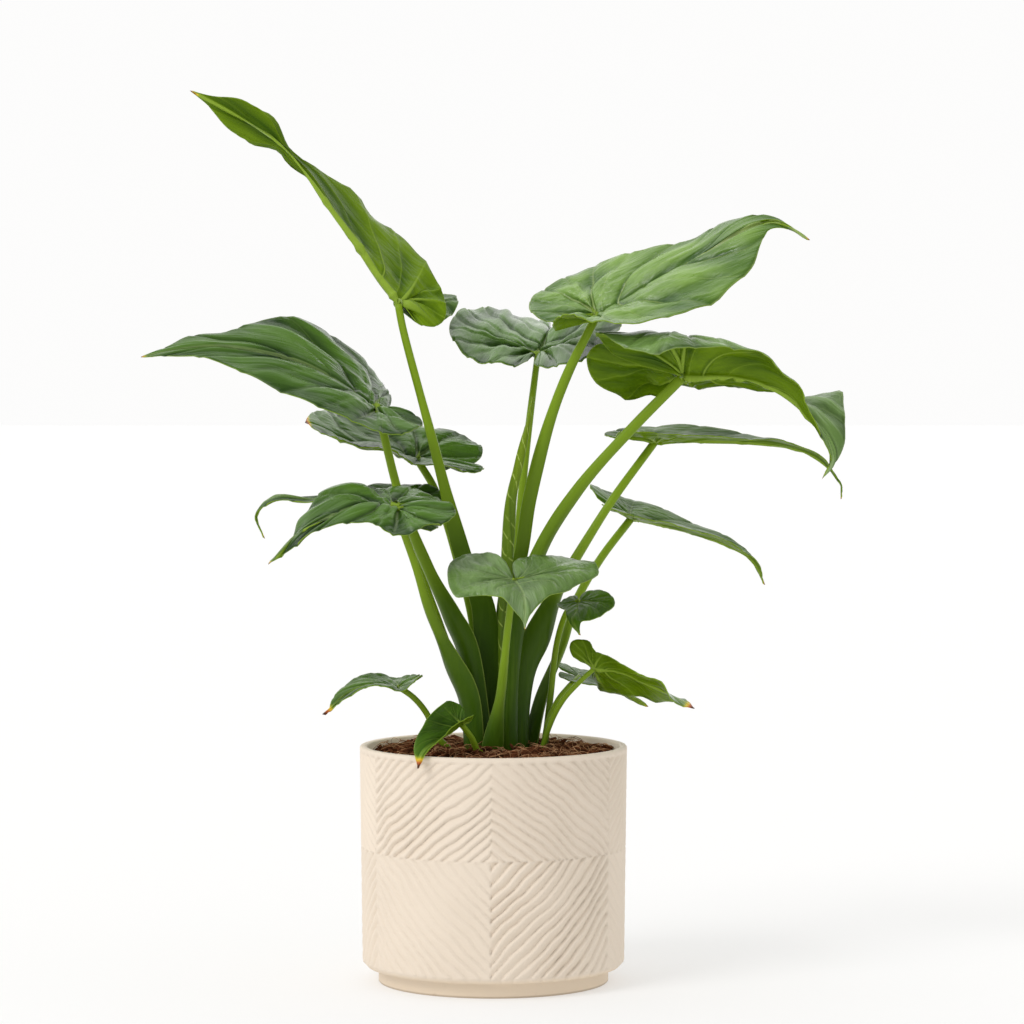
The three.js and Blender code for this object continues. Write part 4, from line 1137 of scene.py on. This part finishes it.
# %% [markdown]
# Growing the leaves
#
# With the helpers in place every leaf is made the same way: its blade takes the place of its
# blade solid and its stalk that of its stalk solid. Big blades get a finer grid than small ones.
# A stalk starts inside the rootstock and ends just short of its blade's joint.

# %% Blades and stalks
ROOT_INSET = 0.85
ROOT_HEIGHT = 162 * MM
JOINT_GAP = 0.8 * MM
BIG_BLADE = 120 * MM
BIG_GRID = (30, 96)
SMALL_GRID = (18, 60)


def prepare(leaf):
    leaf["curve"] = Curve(in_metres(leaf["rib"]))
    leaf["facing"] = [Vector(way) for way in leaf["face"]]
    for key in ("quilt", "wave"):
        leaf[key] *= MM
    points = in_metres(leaf["stalk"]["path"])
    root = Vector((points[0].x * ROOT_INSET, points[0].y * ROOT_INSET, ROOT_HEIGHT))
    joint, _ = leaf["curve"].at(0)
    leaf["stalk"]["curve"] = Curve([root] + points + [joint])


for name, leaf in LEAVES.items():
    prepare(leaf)
    stalk = leaf["stalk"]
    bm = blade_mesh(leaf, *(BIG_GRID if leaf["curve"].length > BIG_BLADE else SMALL_GRID))
    skins = [SKINS[leaf["skin"]], SKINS["under"]]
    blade = add_piece("leaf_" + name, bm, skins, "leaf_blade", "blade_" + name)
    thicken_blade(blade)
    bm = stalk_mesh(stalk, top=1 - JOINT_GAP / stalk["curve"].length)
    add_piece("petiole_" + name, bm, [stalk_finish], "leaf_stalk", "stalk_" + name)

# %% [markdown]
# The rolled leaf
#
# The newest leaf stands up between the stalks, still rolled into a spear. Its overlapping edge
# winds round it in a long spiral, and its veins show as bright slanting lines. A sheet could be
# rolled up for it, but its inner turns would never be seen. So it is a stalk with a section that
# steps out at the edge of the roll, and its material draws the veins.

# %% Rolled leaf
SPEAR_LINES = 22
SPEAR_SLANT = 2.0


def spear_material():
    paint = Paint("rolled leaf")
    turn, grow = paint.mark("turn"), paint.mark("grow")
    slant = paint.plus(paint.times(turn, SPEAR_SLANT), paint.times(grow, SPEAR_LINES))
    slant = paint.plus(slant, paint.clouds(40, 2))
    line = paint.fade(paint.math("PINGPONG", slant, 0.5), 0.0, 0.09, 1.0, 0.0)
    line = paint.times(line, paint.fade(paint.clouds(25, 2), 0.35, 0.5))
    streaks = paint.clouds(200, 3, (1.0, 1.0, 0.08))
    green = paint.mix(streaks, (0.085, 0.150, 0.002, 1), (0.210, 0.310, 0.006, 1))
    green = paint.mix(paint.fade(grow, 0.62, 0.9, 0.6, 0.0), green, (0.06, 0.13, 0.003, 1))
    green = paint.mix(paint.times(line, 0.9), green, (0.42, 0.54, 0.11, 1))
    paint.bump(line, 0.3 * MM, 0.6)
    return paint.wear(Base_Color=green, Roughness=0.4, Specular_IOR_Level=0.2)


SPEAR = tube(
    path=[
        (11, -10, 162), (9, -5, 212), (9, -7, 320), (14, -14, 409), (17, -17, 451),
        (24, -19, 484), (31, -18, 516), (37, -17, 547),
    ],
    wide=(8, 8, 9, 11, 12, 8, 2), deep=(6, 6, 7, 8, 10, 8, 2), hug=(0, 0), out=(0, -1, 0),
)
SPEAR["curve"] = Curve(in_metres(SPEAR["path"]))
spear = stalk_mesh(SPEAR, sides=40, steps=160, twist=0.3)
add_piece("spear_leaf", spear, [spear_material()], "rolled_leaf", "rolled_leaf")


# %% [markdown]
# The rootstock
#
# The squat stem under the mix can't be seen, so its solid stays as it is. It still gets a finish
# of its own: brown, ringed and rough, as it would look if the plant were lifted out.

# %% Rootstock material
def rootstock_material():
    paint = Paint("rootstock bark")
    rings = paint.clouds(70, 4, (0.3, 0.3, 2.2))
    bark = paint.mix(paint.fade(rings, 0.35, 0.65), (0.14, 0.075, 0.035, 1), (0.33, 0.22, 0.12, 1))
    paint.bump(rings, 1.5 * MM)
    return paint.wear(Base_Color=bark, Roughness=paint.fade(rings, 0.3, 0.7, 0.8, 0.95))


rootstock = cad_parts["rootstock"]
rootstock.data.materials.clear()
rootstock.data.materials.append(rootstock_material())
print("rootstock keeps its solid,", len(rootstock.data.polygons), "faces")

# %% [markdown]
# The floor
#
# In a white studio the floor melts into the walls, and only a soft shadow shows where it is. A
# floor painted white would throw so much light up at the plant that its shaded sides turn flat.
# A grey floor that glows a little is as bright in the picture and keeps a soft shadow.

# %% Floor
FLOOR_SIZE = 30
FLOOR_GREY = 0.5
FLOOR_GLOW = 0.425
floor_mesh = bmesh.new()
bmesh.ops.create_grid(floor_mesh, x_segments=1, y_segments=1, size=FLOOR_SIZE)
floor_data = bpy.data.meshes.new("studio_floor")
floor_mesh.to_mesh(floor_data)
floor_mesh.free()
floor = bpy.data.objects.new("studio_floor", floor_data)
bpy.context.scene.collection.objects.link(floor)
floor_colour = (FLOOR_GREY, FLOOR_GREY * 0.997, FLOOR_GREY * 0.99, 1)
floor_paint = Paint("lit studio floor")
floor_paint.wear(Emission_Color=(1.0, 0.995, 0.985, 1), Emission_Strength=FLOOR_GLOW)
floor_data.materials.append(floor_paint.wear(Base_Color=floor_colour, Roughness=1.0))
print("floor glow:", FLOOR_GLOW)

# %% [markdown]
# The light
#
# The plant was photographed between white walls, with one large soft light from the left that
# shades the pot's right side and shows up the carving. Lamps on stands would have to be hidden
# from the camera, so the walls are the world itself: bright behind and above the plant, dimmer in
# front. Gloss shows what stands opposite, and a real studio is dark behind the camera. So rays
# that come off something glossy meet the same walls with more contrast, which draws the creases.

# %% Walls of the studio
BRIGHT_SIDE = (-0.15, 0.85, 0.5)
WALLS = (-0.9, 0.75, 0.66, 0.98)
MIRRORED_WALLS = (0.0, 0.8, 0.06, 1.6)
world = bpy.data.worlds.new("white studio")
studio = Network(world)
toward = studio.add("ShaderNodeTexCoord", {}).outputs["Generated"]
toward = studio.add("ShaderNodeVectorMath", {0: toward, 1: BRIGHT_SIDE}, operation="DOT_PRODUCT")
toward = toward.outputs["Value"]
glossy = studio.add("ShaderNodeLightPath", {}).outputs["Is Glossy Ray"]
walls = {0: glossy, 2: studio.fade(toward, *WALLS), 3: studio.fade(toward, *MIRRORED_WALLS)}
background = studio.tree.nodes["Background"]
studio.feed(background.inputs["Strength"], studio.add("ShaderNodeMix", walls).outputs[0])
studio.feed(background.inputs["Color"], (1.0, 0.997, 0.992, 1))
bpy.context.scene.world = world
bpy.context.scene.view_settings.view_transform = "Standard"
print("walls from", WALLS[2], "to", WALLS[3])

# %% Key light
KEY_FROM = Vector((-0.68, -0.62, 0.76)).normalized()
key_data = bpy.data.lights.new("key_light", "SUN")
key_data.energy = 1.1
key_data.angle = math.radians(28)
key = bpy.data.objects.new("key_light", key_data)
key.rotation_euler = (-KEY_FROM).to_track_quat("-Z", "Y").to_euler()
bpy.context.scene.collection.objects.link(key)
print("key light from", [round(value, 2) for value in KEY_FROM])

# %% [markdown]
# The camera
#
# The ellipses of the rim and the foot tell where the camera stood: 3.6 m away and 0.58 m up. A
# long lens from there keeps the rim's ellipse as flat as in the photograph. Its focal length and
# tilt come from the picture's size and from the row of the horizon.

# %% Camera
CAMERA_PLACE = Vector((17.4, -3573, 581.8)) * MM
HORIZON_ROW = 359
PICTURE_SIZE = 1024
FOCAL_PIXELS = 3830
camera_data = bpy.data.cameras.new("studio_camera")
camera_data.sensor_width = 36
camera_data.lens = camera_data.sensor_width * FOCAL_PIXELS / PICTURE_SIZE
camera = bpy.data.objects.new("studio_camera", camera_data)
tilt = math.atan((PICTURE_SIZE / 2 - HORIZON_ROW) / FOCAL_PIXELS)
camera.location = CAMERA_PLACE
camera.rotation_euler = (math.pi / 2 - tilt, 0, 0)
bpy.context.scene.collection.objects.link(camera)
bpy.context.scene.camera = camera
print("lens:", round(camera_data.lens, 2), "mm")
